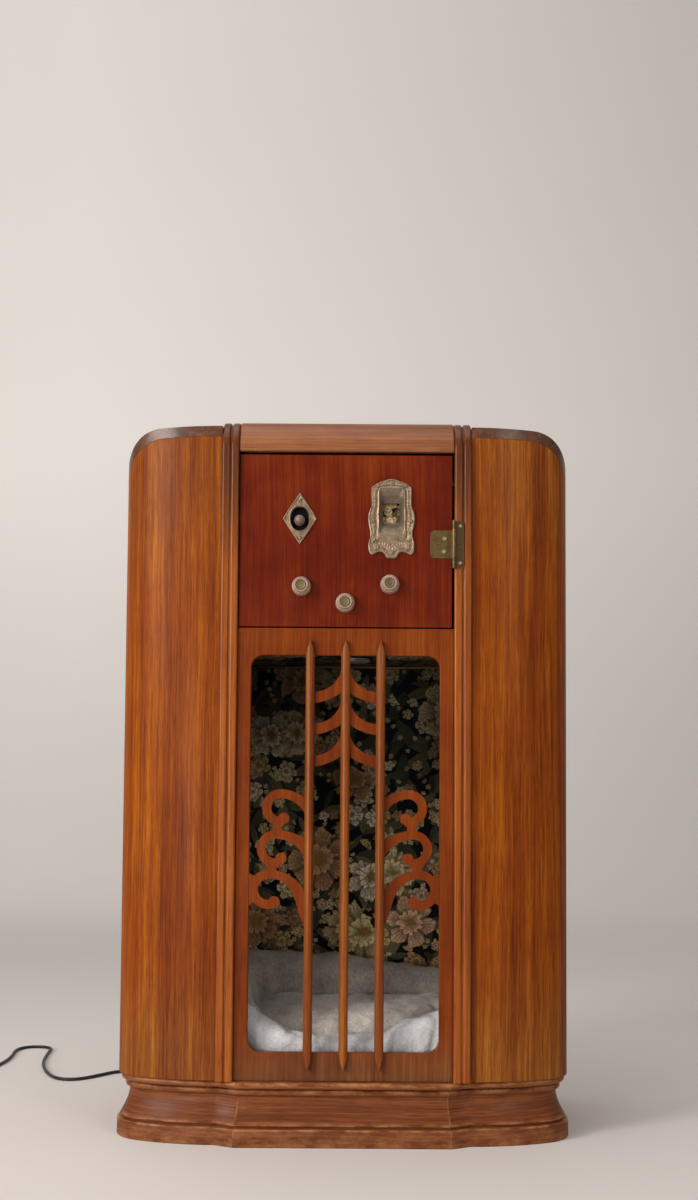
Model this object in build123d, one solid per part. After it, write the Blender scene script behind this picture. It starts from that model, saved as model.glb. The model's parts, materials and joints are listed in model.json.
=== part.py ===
from build123d import *
import os
from math import atan2, cos, degrees, pi, radians, sin, tan

# A bow-fronted floor console cabinet, once a radio, fitted out as a pet den.
# Millimetres. +Z is up and the front faces -Y. While the pieces are drawn, y = 0 is the
# front face of the grille panel and +y runs to the back; at the end every piece moves by
# ORIGIN_Y, which puts the origin under the middle of the cabinet's box.

# ---- cabinet ---------------------------------------------------------------------------
HEIGHT = 1031.0            # floor to the top of the cap
HALF_WIDTH = 325.0
BACK_Y = 322.0             # rear edge of the side panels
BOW_DEPTH = 80.0           # how far the side has swept back where it turns straight
CORNER_R = 60.0            # tighter arc at the outer corner of the bow
PLY = 9.0                  # side panel thickness
FIT = 0.3                  # working gap between neighbouring pieces
SIDE_BOTTOM = 88.0
FACE_TOP = 1001.0          # top of the side panels, where the dark top boards begin
SIDE_TOP = 1016.0          # top of the dark top boards
SHOULDER_R = 55.0          # rounding of the shoulder seen from the front

PILASTER_OUT = 178.5       # outer edge of each pilaster
PILASTER_IN = 154.0        # inner edge
PILASTER_PROUD = 7.0
PILASTER_THICK = 20.0
PILASTER_TOP = 1029.0
PILASTER_BEND = 46.0
RIB_GAP = 1.6
CAP_FRONT = -4.0
CAP_BOTTOM = 979.0
CAP_THICK = 12.0

# ---- grille ----------------------------------------------------------------------------
PANEL_THICK = 10.0
PANEL_TOP = 725.0
WINDOW_HALF = 134.0
WINDOW_BOTTOM = 128.0
WINDOW_TOP = 686.0
WINDOW_R = 18.0
FRET_THICK = 6.0
BAR_PITCH = 50.0
BAR_HALF = 6.5
BAR_PROUD = 9.0
BAR_BOTTOM = 104.0
BAR_TOP = 707.0
BAR_POINT = 20.0
STRIP_HALF = 6.0           # fretwork strip behind each bar
ARM_PITCH = 45.2           # spacing of the branching arms

# ---- base ------------------------------------------------------------------------------
SLAB_TOP = 25.0
SLAB_OUT = 2.0             # slab edge outside the cabinet's face
BLOCK_FORWARD = 15.0       # centre block in front of the bowed sides
BLOCK_HALF = 151.3         # half width of the centre block at the cabinet's face line
NECK_Z = 68.0
NECK_IN = 16.0
BASE_INNER = 34.0          # inner edge of the base pieces, inside the cabinet's face

# ---- interior --------------------------------------------------------------------------
FLOOR_TOP = 104.0          # top of the bottom board
SHELF_Z = (704.0, 718.0)
FABRIC = 1.6
DOOR_BACK_Y = (308.0, 320.0)

# ---- front door and its fittings --------------------------------------------------------
DOOR_X = (-152.5, 150.5)
DOOR_Z = (727.0, 974.5)
DOOR_THICK = 15.0
DOOR_PIVOT = (152.6, -10.4)
LEAF_THICK = 1.4
BARREL_R = 2.8
PIN_R = 1.25
RUN_FIT = 0.06             # radial running clearance of pins and shafts
HINGE_Z = (826.4, 866.0)
HINGE_FRAME_Z = (810.4, 878.6)
KNOBS = {"volume": (-64.0, 784.5), "tuning": (-1.5, 761.0), "tone": (62.0, 788.0)}
KNOB_R = 13.8
KNOB_FRONT = -17.0
SHAFT_R = 3.175
BUSHING_R = 4.8
CONTROL_R = 12.0
SWITCH = (-67.0, 882.0)
LEVER_PIVOT_Y = 11.0
LEVER_DROP = 12.0          # degrees below level at rest
DIAL = (64.0, 882.0)
DIAL_HOLE = (11.8, 14.0)   # half sizes of the dial's inner opening

# ---- bed and lamp ----------------------------------------------------------------------
BED_X = (-214.0, 262.0)
BED_Y = (17.0, 298.0)
BED_CORNER = 44.0
BED_SIDE = 78.0            # thickness of the side bolsters
BED_END = 62.0             # thickness of the front and back bolsters
BED_FRONT_TOP = 186.0
BED_SIDE_TOP = 234.0
BED_BACK_TOP = 247.0
CUSHION_TOP = 186.0
LAMP = (16.0, 56.0)
LAMP_R = 21.0
LAMP_BOTTOM = 683.0

# ---- mains cord ------------------------------------------------------------------------
CORD_R = 2.75
GLAND = (-256.0, 50.0)     # x and z of the hole in the rear rail
RELIEF_END = 350.0
CORD_ROUTE = [
    (-256, 350, 50), (-256, 384, 50), (-264, 426, 26), (-294, 472, 3), (-343, 512, 3),
    (-398, 508, 3), (-430, 460, 3), (-456, 430, 3), (-490, 432, 3), (-518, 480, 3),
    (-540, 545, 3), (-552, 600, 3), (-558, 650, 3), (-562, 692, 3), (-564, 725, 3),
    (-582, 743, 3), (-608, 743, 3), (-626, 725, 3), (-628, 690, 3), (-620, 643, 3),
    (-619, 585, 3), (-626, 530, 3), (-637, 485, 3), (-642, 440, 3),
]
COIL = (-672.0, 425.0)
COIL_R = 30.0              # middle of the turns
PLUG_LENGTH = 36.0
BOOT_LENGTH = 28.0

REAR_EDGE = 327.0          # rearmost point, the back hinge barrel
FRONT_EDGE = -(SLAB_OUT + BLOCK_FORWARD)
ORIGIN_Y = -(REAR_EDGE + FRONT_EDGE) / 2

nodes = {}


# ---- drawing helpers -------------------------------------------------------------------
def arc(centre, radius, start, end):
    """Arc by centre, radius and two angles in degrees."""
    points = []
    for angle in (start, (start + end) / 2, end):
        turn = radians(angle)
        points.append((centre[0] + radius * cos(turn), centre[1] + radius * sin(turn)))
    return ThreePointArc(*points)


def plan(outline, low, high):
    """Solid of an outline drawn in x and y, between two heights."""
    return Pos(0, 0, low) * extrude(outline, amount=high - low)


def front(outline, near, far):
    """Solid of an outline drawn in x and z, between two depths."""
    plane = Plane(origin=(0, far, 0), x_dir=(1, 0, 0), z_dir=(0, -1, 0))
    return extrude(plane * outline, amount=far - near)


def side(outline, left, right):
    """Solid of an outline drawn in y and z, between two x values."""
    plane = Plane(origin=(left, 0, 0), x_dir=(0, 1, 0), z_dir=(1, 0, 0))
    return extrude(plane * outline, amount=right - left)


def box(x, y, z):
    """Block between two corners given as three (low, high) pairs."""
    size = [high - low for low, high in (x, y, z)]
    middle = [(low + high) / 2 for low, high in (x, y, z)]
    return Pos(*middle) * Box(*size)


def rod(point, radius, near, far):
    """Round rod along y through an (x, z) point."""
    return front(Pos(*point) * Circle(radius), near, far)


def post(point, radius, low, high):
    """Round rod along z through an (x, y) point."""
    return plan(Pos(*point) * Circle(radius), low, high)


def rounded(centre, half_x, half_z, radius):
    return Pos(*centre) * RectangleRounded(2 * half_x, 2 * half_z, radius)


def mirrored(solid):
    return mirror(solid, about=Plane.YZ)


def both_sides(name, solid):
    """Right-hand piece and its mirror image as two nodes."""
    nodes[name + "_right"] = solid
    nodes[name + "_left"] = mirrored(solid)


# ---- the bowed side in plan ------------------------------------------------------------
CORNER_C = (HALF_WIDTH - CORNER_R, BOW_DEPTH)
CORNER_RUN = CORNER_C[0] - PILASTER_OUT
BOW_R = (CORNER_RUN ** 2 + BOW_DEPTH ** 2 - CORNER_R ** 2) / (2 * (BOW_DEPTH - CORNER_R))
BOW_C = (PILASTER_OUT, BOW_R)
JOIN = degrees(atan2(CORNER_C[1] - BOW_C[1], CORNER_C[0] - BOW_C[0]))


def side_edges(inset, rear=BACK_Y):
    """Right-hand plan line: two tangent arcs and a straight run to the back."""
    x = HALF_WIDTH - inset
    return [
        arc(BOW_C, BOW_R - inset, -90, JOIN),
        arc(CORNER_C, CORNER_R - inset, JOIN, 0),
        Line((x, BOW_DEPTH), (x, rear)),
    ]


def side_wall(outer, inner, rear=BACK_Y):
    """Plan of a wall that follows the bow between two insets."""
    edges = side_edges(outer, rear) + side_edges(inner, rear)
    edges.append(Line((HALF_WIDTH - outer, rear), (HALF_WIDTH - inner, rear)))
    edges.append(Line((PILASTER_OUT, outer), (PILASTER_OUT, inner)))
    return make_face(edges)


def inside_plan(inset, near, far):
    """Plan of a board that fills the cabinet inside the bow."""
    edges = side_edges(inset, far)
    edges.append(Line((PILASTER_OUT, inset), (0, inset)))
    edges.append(Line((0, inset), (0, far)))
    edges.append(Line((0, far), (HALF_WIDTH - inset, far)))
    half = make_face(edges)
    half = half & (Pos(0, (near + far) / 2) * Rectangle(2 * HALF_WIDTH, far - near))
    return half + mirror(half, about=Plane.YZ)


def shoulder(top, radius):
    """Front outline of one side up to a rounded shoulder."""
    x = HALF_WIDTH + 10
    centre = (HALF_WIDTH - radius, top - radius)
    edges = [
        Line((PILASTER_OUT, top), (centre[0], top)),
        arc(centre, radius, 90, 0),
        Line((HALF_WIDTH, centre[1]), (x, centre[1])),
        Line((x, centre[1]), (x, 0)),
        Line((x, 0), (PILASTER_OUT, 0)),
        Line((PILASTER_OUT, 0), (PILASTER_OUT, top)),
    ]
    return front(make_face(edges), -20, BACK_Y + 10)


def make_sides():
    lower = shoulder(FACE_TOP, SHOULDER_R + 5)
    upper = shoulder(SIDE_TOP, SHOULDER_R)
    panel = plan(side_wall(0, PLY), SIDE_BOTTOM, HEIGHT) & lower
    both_sides("side_panel", panel)
    full = make_face(side_edges(0) + [
        Line((HALF_WIDTH, BACK_Y), (PILASTER_OUT, BACK_Y)),
        Line((PILASTER_OUT, BACK_Y), (PILASTER_OUT, 0)),
    ])
    board = (plan(full, 0, HEIGHT) & upper) - lower
    both_sides("top_side", board)
    lining = side_wall(PLY + 0.2, PLY + 0.2 + FABRIC, 304.0)
    both_sides("lining", plan(lining, FLOOR_TOP + FIT, SHELF_Z[0] - FABRIC - FIT))


# ---- pilasters and cap -----------------------------------------------------------------
def bent_strip(face_y, bottom, top, bend, thick):
    """Side outline of a strip that rises up the front and bends back over the top."""
    outer = (face_y + bend, top - bend)
    inner = bend - thick
    edges = [
        Line((face_y, bottom), (face_y, outer[1])),
        arc(outer, bend, 180, 90),
        Line((outer[0], top), (BACK_Y, top)),
        Line((BACK_Y, top), (BACK_Y, top - thick)),
        Line((BACK_Y, top - thick), (outer[0], top - thick)),
        arc(outer, inner, 90, 180),
        Line((face_y + thick, outer[1]), (face_y + thick, bottom)),
        Line((face_y + thick, bottom), (face_y, bottom)),
    ]
    return make_face(edges)


def rounded_rib(outline, left, right, radius):
    """Bent strip with its two outward long edges rounded."""
    rib = side(outline, left, right)
    limit = PILASTER_THICK - 2

    def outward(edge):
        middle = edge.center()
        along_x = abs(edge.bounding_box().size.X) > 0.1
        on_front = middle.Y < -PILASTER_PROUD + 1 and middle.Z < HEIGHT - 60
        on_top = middle.Z > PILASTER_TOP - 1 and middle.Y > 60
        on_bend = middle.Y < 20 and middle.Z > PILASTER_TOP - limit
        return not along_x and (on_front or on_top or on_bend)

    return fillet([edge for edge in rib.edges() if outward(edge)], radius)


def make_pilasters():
    outline = bent_strip(
        -PILASTER_PROUD, SIDE_BOTTOM, PILASTER_TOP, PILASTER_BEND, PILASTER_THICK
    )
    middle = (PILASTER_IN + PILASTER_OUT) / 2
    inner = rounded_rib(outline, PILASTER_IN, middle - RIB_GAP / 2, 3.2)
    outer = rounded_rib(outline, middle + RIB_GAP / 2, PILASTER_OUT, 3.2)
    backing = bent_strip(
        -PILASTER_PROUD + 3, SIDE_BOTTOM, PILASTER_TOP - 3, PILASTER_BEND - 3,
        PILASTER_THICK - 3,
    )
    web = side(backing, middle - RIB_GAP, middle + RIB_GAP)
    both_sides("pilaster", inner + outer + web)


def make_cap():
    bend = HEIGHT - CAP_BOTTOM - 3
    outline = bent_strip(CAP_FRONT, CAP_BOTTOM, HEIGHT, bend, CAP_THICK)
    nodes["top_cap"] = side(outline, -PILASTER_IN, PILASTER_IN)


# ---- grille panel, fretwork and bars ---------------------------------------------------
def window(half, low, high, radius):
    return rounded((0, (low + high) / 2), half, (high - low) / 2, radius)


def make_grille_panel():
    height = PANEL_TOP - SIDE_BOTTOM
    panel = Pos(0, SIDE_BOTTOM + height / 2) * Rectangle(2 * PILASTER_IN, height)
    opening = window(WINDOW_HALF, WINDOW_BOTTOM, WINDOW_TOP, WINDOW_R)
    nodes["grille_panel"] = front(panel - opening, 0, PANEL_THICK)


def ring(centre, inner, outer, start, end):
    """Part of a flat ring between two angles."""
    ends = []
    for angle in (start, end):
        turn = radians(angle)
        ends.append(Line(
            (centre[0] + inner * cos(turn), centre[1] + inner * sin(turn)),
            (centre[0] + outer * cos(turn), centre[1] + outer * sin(turn)),
        ))
    return make_face([arc(centre, inner, start, end), arc(centre, outer, start, end)] + ends)


def fall(top, foot):
    """Arc that leaves its top point level and ends at its foot."""
    run = foot[0] - top[0]
    drop = top[1] - foot[1]
    radius = (run ** 2 + drop ** 2) / (2 * drop)
    swing = degrees(atan2(run, radius - drop))
    return arc((top[0], top[1] - radius), radius, 90, 90 - swing)


def scroll_arm(ring_top, eye_top, upper_z, lower_z):
    """Arm from the top of a scroll down to the strip beside it."""
    strip = -BAR_PITCH - STRIP_HALF + 0.5
    edges = [
        fall(ring_top, (strip, upper_z)),
        Line((strip, upper_z), (strip, lower_z)),
        fall(eye_top, (strip, lower_z)),
        Line(eye_top, ring_top),
    ]
    return make_face(edges)


def neck(left, right, low, high, waist):
    """Waisted link between two scrolls."""
    middle = (low + high) / 2
    edges = [
        ThreePointArc((left, low), (left + waist, middle), (left, high)),
        Line((left, high), (right, high)),
        ThreePointArc((right, high), (right - waist, middle), (right, low)),
        Line((right, low), (left, low)),
    ]
    return make_face(edges)


def disc(centre, radius):
    return Pos(*centre) * Circle(radius)


def upper_scroll():
    eye = (-90.5, 469.5)
    shape = ring(eye, 13.2, 26.0, 90, 282) + disc((-86.0, 454.5), 8.0)
    return shape + scroll_arm((-90.5, 495.5), (-90.5, 482.7), 483.0, 459.0)


def middle_scroll():
    eye = (-97.5, 412.0)
    shape = ring(eye, 13.8, 26.0, 90, 285) + disc((-89.5, 398.0), 8.0)
    return shape + scroll_arm((-97.5, 438.0), (-97.5, 425.8), 425.5, 398.0)


def lower_scroll():
    """Largest scroll: it also grips the window's edge and runs down the strip."""
    eye = (-106.5, 354.6)
    shape = ring(eye, 15.0, 27.6, 90, 292) + disc((-98.5, 337.0), 8.2)
    strip = -BAR_PITCH - STRIP_HALF + 0.5
    arm = make_face([
        fall((-106.5, 382.2), (strip, 353.0)),
        Line((strip, 353.0), (strip, 304.0)),
        Spline((strip, 304.0), (-65.0, 326.0), (-75.0, 353.0), (-93.0, 368.0), (-106.5, 369.6)),
        Line((-106.5, 369.6), (-106.5, 382.2)),
    ])
    edge = -WINDOW_HALF - 2
    grip = make_face([
        Line((edge, 326.0), (edge, 382.0)),
        ThreePointArc((edge, 382.0), (-129.0, 374.5), (-117.0, 376.5)),
        Line((-117.0, 376.5), (-123.0, 355.0)),
        Line((-123.0, 355.0), (-117.0, 335.0)),
        ThreePointArc((-117.0, 335.0), (-129.0, 336.0), (edge, 326.0)),
    ])
    return shape + arm + grip


def branch(level):
    """Arm between the middle strip and the left strip, hollowed by an arc above."""
    drop = ARM_PITCH * level
    left = -BAR_PITCH + STRIP_HALF - 0.5
    right = -STRIP_HALF + 0.5
    top = 673.2 - drop
    edges = [
        arc((left, top), right - left, -90, 0),
        Line((right, top), (right, 633.4 - drop)),
        Spline((right, 633.4 - drop), (-26.0, 622.5 - drop), (left, 618.1 - drop)),
        Line((left, 618.1 - drop), (left, top - right + left)),
    ]
    return make_face(edges)


def make_fretwork():
    opening = window(WINDOW_HALF, WINDOW_BOTTOM, WINDOW_TOP, WINDOW_R)
    middle = (WINDOW_BOTTOM + WINDOW_TOP) / 2
    strip = Rectangle(2 * STRIP_HALF, WINDOW_TOP - WINDOW_BOTTOM + 10)
    half = upper_scroll() + middle_scroll() + lower_scroll()
    half += neck(-104.5, -84.5, 434.0, 449.0, 4.0)
    half += neck(-114.0, -91.0, 376.0, 391.0, 4.5)
    half += Pos(-BAR_PITCH, middle) * strip
    for level in range(3):
        half += branch(level)
    pattern = half + mirror(half, about=Plane.YZ) + Pos(0, middle) * strip
    nodes["fretwork"] = front(pattern & opening, 0, FRET_THICK)


def make_bars():
    middle = (BAR_BOTTOM + BAR_TOP) / 2
    half = (BAR_TOP - BAR_BOTTOM) / 2
    outline = Polygon(
        (-BAR_HALF, -half + BAR_POINT), (0, -half), (BAR_HALF, -half + BAR_POINT),
        (BAR_HALF, half - BAR_POINT), (0, half), (-BAR_HALF, half - BAR_POINT),
        align=None,
    )
    profile = make_face([
        Line((-BAR_HALF, 0), (BAR_HALF, 0)),
        Line((BAR_HALF, 0), (BAR_HALF, -3.0)),
        ThreePointArc((BAR_HALF, -3.0), (0, -BAR_PROUD), (-BAR_HALF, -3.0)),
        Line((-BAR_HALF, -3.0), (-BAR_HALF, 0)),
    ])
    names = {-1: "left", 0: "center", 1: "right"}
    for place, name in names.items():
        shaft = plan(profile, BAR_BOTTOM, BAR_TOP)
        bar = shaft & front(Pos(0, middle) * outline, -BAR_PROUD - 1, 0)
        nodes["grille_bar_" + name] = Pos(place * BAR_PITCH, 0, 0) * bar


# ---- base ------------------------------------------------------------------------------
RETURN_ANGLE = degrees(atan2(BLOCK_FORWARD, PILASTER_OUT - BLOCK_HALF))
MITRE = tan(radians(RETURN_ANGLE / 2))


def base_edges(out):
    """Right half of the base's plan line, moved outwards from the cabinet's face."""
    x = HALF_WIDTH + out
    corner = (BLOCK_HALF + out * MITRE, -BLOCK_FORWARD - out)
    start = -90 + degrees(2 * atan2(out * MITRE, 2 * (BOW_R + out)))
    bow_start = (
        BOW_C[0] + (BOW_R + out) * cos(radians(start)),
        BOW_C[1] + (BOW_R + out) * sin(radians(start)),
    )
    return [
        Line((0, corner[1]), corner),
        Line(corner, bow_start),
        arc(BOW_C, BOW_R + out, start, JOIN),
        arc(CORNER_C, CORNER_R + out, JOIN, 0),
        Line((x, BOW_DEPTH), (x, BACK_Y)),
    ]


def base_plan(out):
    x = HALF_WIDTH + out
    edges = base_edges(out) + [
        Line((x, BACK_Y), (0, BACK_Y)),
        Line((0, BACK_Y), (0, -BLOCK_FORWARD - out)),
    ]
    half = make_face(edges)
    return half + mirror(half, about=Plane.YZ)


def layer(out, low, high):
    return plan(base_plan(out), low, high)


def block_wedge(grow=0.0):
    """Plan region of the centre block, cut on the mitre lines."""
    near = -BLOCK_FORWARD - 40
    far = 60
    near_x = BLOCK_HALF - MITRE * (near + BLOCK_FORWARD) + grow
    far_x = BLOCK_HALF - MITRE * (far + BLOCK_FORWARD) + grow
    points = [(-far_x, far), (-near_x, near), (near_x, near), (far_x, far)]
    return plan(Polygon(*points, align=None), -1, SIDE_BOTTOM + 1)


def split_base(name, solid):
    """Front, left and right pieces of a base ring, mitred together."""
    nodes[name + "_front"] = solid & block_wedge()
    rest = solid - block_wedge()
    half = box((0, 400), (-60, 400), (-1, 200))
    nodes[name + "_right"] = rest & half
    nodes[name + "_left"] = rest & mirrored(half)


def hollow(solid, low, high):
    """Base ring: the middle is open behind the mouldings."""
    core = inside_plan(BASE_INNER, BASE_INNER - 10, BACK_Y + 5)
    return solid - plan(core, low - 1, high + 1)


def make_base():
    slab = layer(SLAB_OUT, 0, SLAB_TOP)
    top = []
    for edge in slab.edges():
        middle = edge.center()
        if middle.Z > SLAB_TOP - 0.1 and middle.Y < BACK_Y - 1:
            top.append(edge)
    slab = chamfer(top, 2.5)
    split_base("base_slab", hollow(slab, 0, SLAB_TOP))

    steps = 9
    lip = SLAB_TOP + 5.0
    moulding = layer(-6.5, SLAB_TOP, lip - 2) + layer(-3.0, lip - 2, lip)
    for step in range(steps):
        share = (step + 0.5) / steps
        depth = 3.0 + (NECK_IN - 3.0) * sin(share * pi / 2)
        low = lip + (NECK_Z - lip) * step / steps
        high = lip + (NECK_Z - lip) * (step + 1) / steps
        moulding += layer(-depth, low, high)
    bead = (SIDE_BOTTOM - NECK_Z) / 2
    for index, out in enumerate((-10.0, -4.0)):
        low = NECK_Z + bead * index
        moulding += layer(out - 2.0, low, low + bead)
        moulding += layer(out, low + bead * 0.2, low + bead * 0.8)
    split_base("base_moulding", hollow(moulding, SLAB_TOP, SIDE_BOTTOM))

    rail_half = HALF_WIDTH - BASE_INNER - FIT
    rail = box((-rail_half, rail_half), (302, 320), (1.0, SIDE_BOTTOM))
    nodes["base_rear_rail"] = rail - rod(GLAND, CORD_R + 1.2, 300, 325)
    blocks = []
    for sign in (-1, 1):
        rear_x = sign * (HALF_WIDTH - BASE_INNER - 11)
        front_x = sign * 150
        blocks.append(box((rear_x - 10, rear_x + 10), (282, 301.8), (6, SIDE_BOTTOM)))
        blocks.append(box((front_x - 12, front_x + 12), (BASE_INNER + 0.2, 60), (6, SIDE_BOTTOM)))
    nodes["base_glue_blocks"] = Compound(blocks)


# ---- interior boards -------------------------------------------------------------------
LEAD_DROP = (-280.0, 240.0)
LEAD_STEPS = 11
LEAD_BOW = 4.0


def make_boards():
    wall = PLY + FIT
    board = plan(inside_plan(wall, 13.3, 306.0), SIDE_BOTTOM, FLOOR_TOP)
    nodes["bottom_board"] = board - post(LEAD_DROP, 6.0, 80, 110)
    shelf = plan(inside_plan(wall, 13.3, 306.0), *SHELF_Z)
    nodes["radio_shelf"] = shelf
    ceiling = inside_plan(wall + FABRIC + FIT, 13.3, 304.0)
    nodes["lining_ceiling"] = plan(ceiling, SHELF_Z[0] - FABRIC, SHELF_Z[0])


# ---- back door -------------------------------------------------------------------------
BACK_PIVOT = (318.5, 324.8)
BACK_DOOR_X = (-313.0, 313.0)
BACK_DOOR_Z = (FLOOR_TOP + 1, 998.0)
LEAF_Z = (180.0, 920.0)


def knuckles(pivot, radius, pieces):
    """Barrel pieces about a pin, each bored for it."""
    barrel = None
    for low, high in pieces:
        ring_piece = post(pivot, radius, low, high)
        barrel = ring_piece if barrel is None else barrel + ring_piece
    return barrel


def make_back():
    x_low, x_high = BACK_DOOR_X
    panel = box(BACK_DOOR_X, DOOR_BACK_Y, BACK_DOOR_Z)
    top = [edge for edge in panel.edges().filter_by(Axis.Y) if edge.center().Z > FACE_TOP - 10]
    panel = fillet(top, SHOULDER_R + 3)
    under_pilasters = PILASTER_TOP - PILASTER_THICK - 2
    under_cap = HEIGHT - CAP_THICK - 2
    panel += box((-PILASTER_OUT, PILASTER_OUT), DOOR_BACK_Y, (BACK_DOOR_Z[1] - 5, under_pilasters))
    panel += box((2 - PILASTER_IN, PILASTER_IN - 2), DOOR_BACK_Y, (BACK_DOOR_Z[1] - 5, under_cap))
    notch = Pos(x_low, DOOR_BACK_Y[1], 560) * Cylinder(14, 40)
    nodes["back_door"] = panel - notch
    nodes["back_door_lining"] = box(
        (x_low + 12, x_high - 12), (DOOR_BACK_Y[0] - FABRIC, DOOR_BACK_Y[0]),
        (BACK_DOOR_Z[0] + 4, SHELF_Z[0] - 4),
    )
    low, high = LEAF_Z
    count = 9
    step = (high - low) / count
    bore = post(BACK_PIVOT, PIN_R + RUN_FIT, low - 1, high + 1)
    grip = post(BACK_PIVOT, PIN_R, low - 1, high + 1)
    spans = [(low + step * k + FIT, low + step * (k + 1) - FIT) for k in range(count)]
    barrel_r = REAR_EDGE - BACK_PIVOT[1]
    on_door = knuckles(BACK_PIVOT, barrel_r, spans[1::2]) - bore
    on_side = knuckles(BACK_PIVOT, barrel_r, spans[0::2]) - grip
    leaf_y = (DOOR_BACK_Y[1], DOOR_BACK_Y[1] + 1.2)
    door_leaf = box((x_high - 16, x_high), leaf_y, LEAF_Z)
    step_y = BACK_Y + 0.4
    for span in spans[1::2]:
        door_leaf += box((x_high - 1.2, x_high), (leaf_y[0], step_y + 1.2), span)
        door_leaf += box((x_high - 1.2, BACK_PIVOT[0]), (step_y, step_y + 1.2), span)
    nodes["back_hinge_door_leaf"] = (door_leaf + on_door) - bore
    side_leaf = box((BACK_PIVOT[0] - 0.5, HALF_WIDTH - 0.8), (BACK_Y, BACK_Y + 1.2), LEAF_Z)
    trim = knuckles(BACK_PIVOT, barrel_r + FIT, [(a - FIT, b + FIT) for a, b in spans[1::2]])
    nodes["back_hinge_frame_leaf"] = (side_leaf - trim) + on_side
    nodes["back_hinge_pin"] = post(BACK_PIVOT, PIN_R, low, high)


# ---- front door ------------------------------------------------------------------------
def make_door():
    middle = ((DOOR_X[0] + DOOR_X[1]) / 2, (DOOR_Z[0] + DOOR_Z[1]) / 2)
    half = ((DOOR_X[1] - DOOR_X[0]) / 2, (DOOR_Z[1] - DOOR_Z[0]) / 2)
    outline = Pos(*middle) * Rectangle(2 * half[0], 2 * half[1])
    holes = rounded(DIAL, 20.0, 35.0, 3.0) + rounded(SWITCH, 14.0, 18.0, 9.0)
    for point in KNOBS.values():
        holes += disc(point, BUSHING_R + 0.2)
    nodes["front_door"] = front(outline - holes, 0, DOOR_THICK)

    sheet = Pos(*middle) * RectangleRounded(2 * half[0] - 20, 2 * half[1] - 12, 2)
    gaps = rounded(DIAL, 24.3, 39.3, 3.3) + rounded(SWITCH, 18.3, 22.3, 4)
    gaps += Pos(-120, 735) * Rectangle(33, 22)
    for point in KNOBS.values():
        gaps += disc(point, CONTROL_R + 1)
    nodes["door_lining"] = front(sheet - gaps, DOOR_THICK, DOOR_THICK + FABRIC)
    nodes["dial_cloth"] = front(rounded(DIAL, 24, 39, 3), DOOR_THICK, DOOR_THICK + FABRIC)

    nodes["catch_strike"] = box((-134, -106), (DOOR_THICK, DOOR_THICK + 1.6), (729, 743))
    nodes["door_catch"] = box((-140, -100), (DOOR_THICK + 2.2, 34), (SHELF_Z[1], 744))


def make_controls():
    bodies = []
    for name, point in KNOBS.items():
        bushing = rod(point, BUSHING_R, -1.6, DOOR_THICK)
        body = rod(point, CONTROL_R, DOOR_THICK, 27)
        bore = rod(point, SHAFT_R + RUN_FIT, -4, 25)
        bodies.append(bushing + body - bore)
        nut = front(Pos(*point) * RegularPolygon(7.0, 6), -1.6, 0)
        bodies.append(nut - rod(point, BUSHING_R, -3, 3))
        nodes["shaft_" + name] = rod(point, SHAFT_R, -13, 24.5)
        skirt = rod(point, KNOB_R, -10.5, -0.6)
        crown = rod(point, KNOB_R - 3.5, KNOB_FRONT, -10.5)
        recess = rod(point, 8.5, -2.4, 0)
        nodes["knob_" + name] = skirt + crown - recess - rod(point, SHAFT_R, -13, 1)
    nodes["rotary_controls"] = Compound(bodies)


def make_switch():
    plate = Polygon((-24.3, 0), (0, -37.5), (24.3, 0), (0, 37.5), align=None)
    plate = fillet(plate.vertices(), 3.0)
    opening = rounded((0, 0), 13.4, 17.4, 8.5)
    nodes["diamond_escutcheon"] = front(Pos(*SWITCH) * (plate - opening), -2.2, 0)

    cup = front(rounded(SWITCH, 13.8, 17.8, 8.8), 0.1, 17)
    cup -= front(rounded(SWITCH, 12.4, 16.4, 7.5), 0, 13)
    body = box((SWITCH[0] - 14, SWITCH[0] + 14), (17, 40), (SWITCH[1] - 18, SWITCH[1] + 18))
    throat = Pos(SWITCH[0], LEVER_PIVOT_Y, SWITCH[1]) * Sphere(6.5)
    seat = rod(SWITCH, 8.0, LEVER_PIVOT_Y - 3, LEVER_PIVOT_Y + 3.5)
    nodes["toggle_switch"] = (cup + body + seat) - throat - rod(SWITCH, 6.0, 5.0, LEVER_PIVOT_Y)

    stem = Cone(3.2, 5.0, 16, align=(Align.CENTER, Align.CENTER, Align.MIN))
    head = Pos(0, 0, 15.5) * Cone(5.0, 7.4, 8, align=(Align.CENTER, Align.CENTER, Align.MIN))
    tip = Pos(0, 0, 19.8) * Sphere(8.2)
    cap = tip & (Pos(0, 0, 23.0) * Cylinder(9, 8, align=(Align.CENTER, Align.CENTER, Align.MIN)))
    lever = Sphere(5.8) + stem + head + cap
    place = Pos(SWITCH[0], LEVER_PIVOT_Y, SWITCH[1]) * Rot(90 + LEVER_DROP, 0, 0)
    nodes["toggle_lever"] = place * lever


def dial_outline():
    """Half of the dial escutcheon, from its arched top to the tab below, then mirrored."""
    right = [
        Spline((0, 58.0), (12.0, 55.0), (23.0, 49.5), (28.4, 46.4)),
        Line((28.4, 46.4), (28.4, 18.0)),
        Spline((28.4, 18.0), (33.2, 6.0), (32.6, -10.0), (30.2, -21.0), (33.2, -36.0),
               (32.0, -48.0), (27.0, -52.0)),
        Spline((27.0, -52.0), (18.0, -47.5), (9.0, -49.5), (6.8, -56.8)),
        Line((6.8, -56.8), (0, -56.8)),
        Line((0, -56.8), (0, 58.0)),
    ]
    half = make_face(right)
    return half + mirror(half, about=Plane.YZ)


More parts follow.
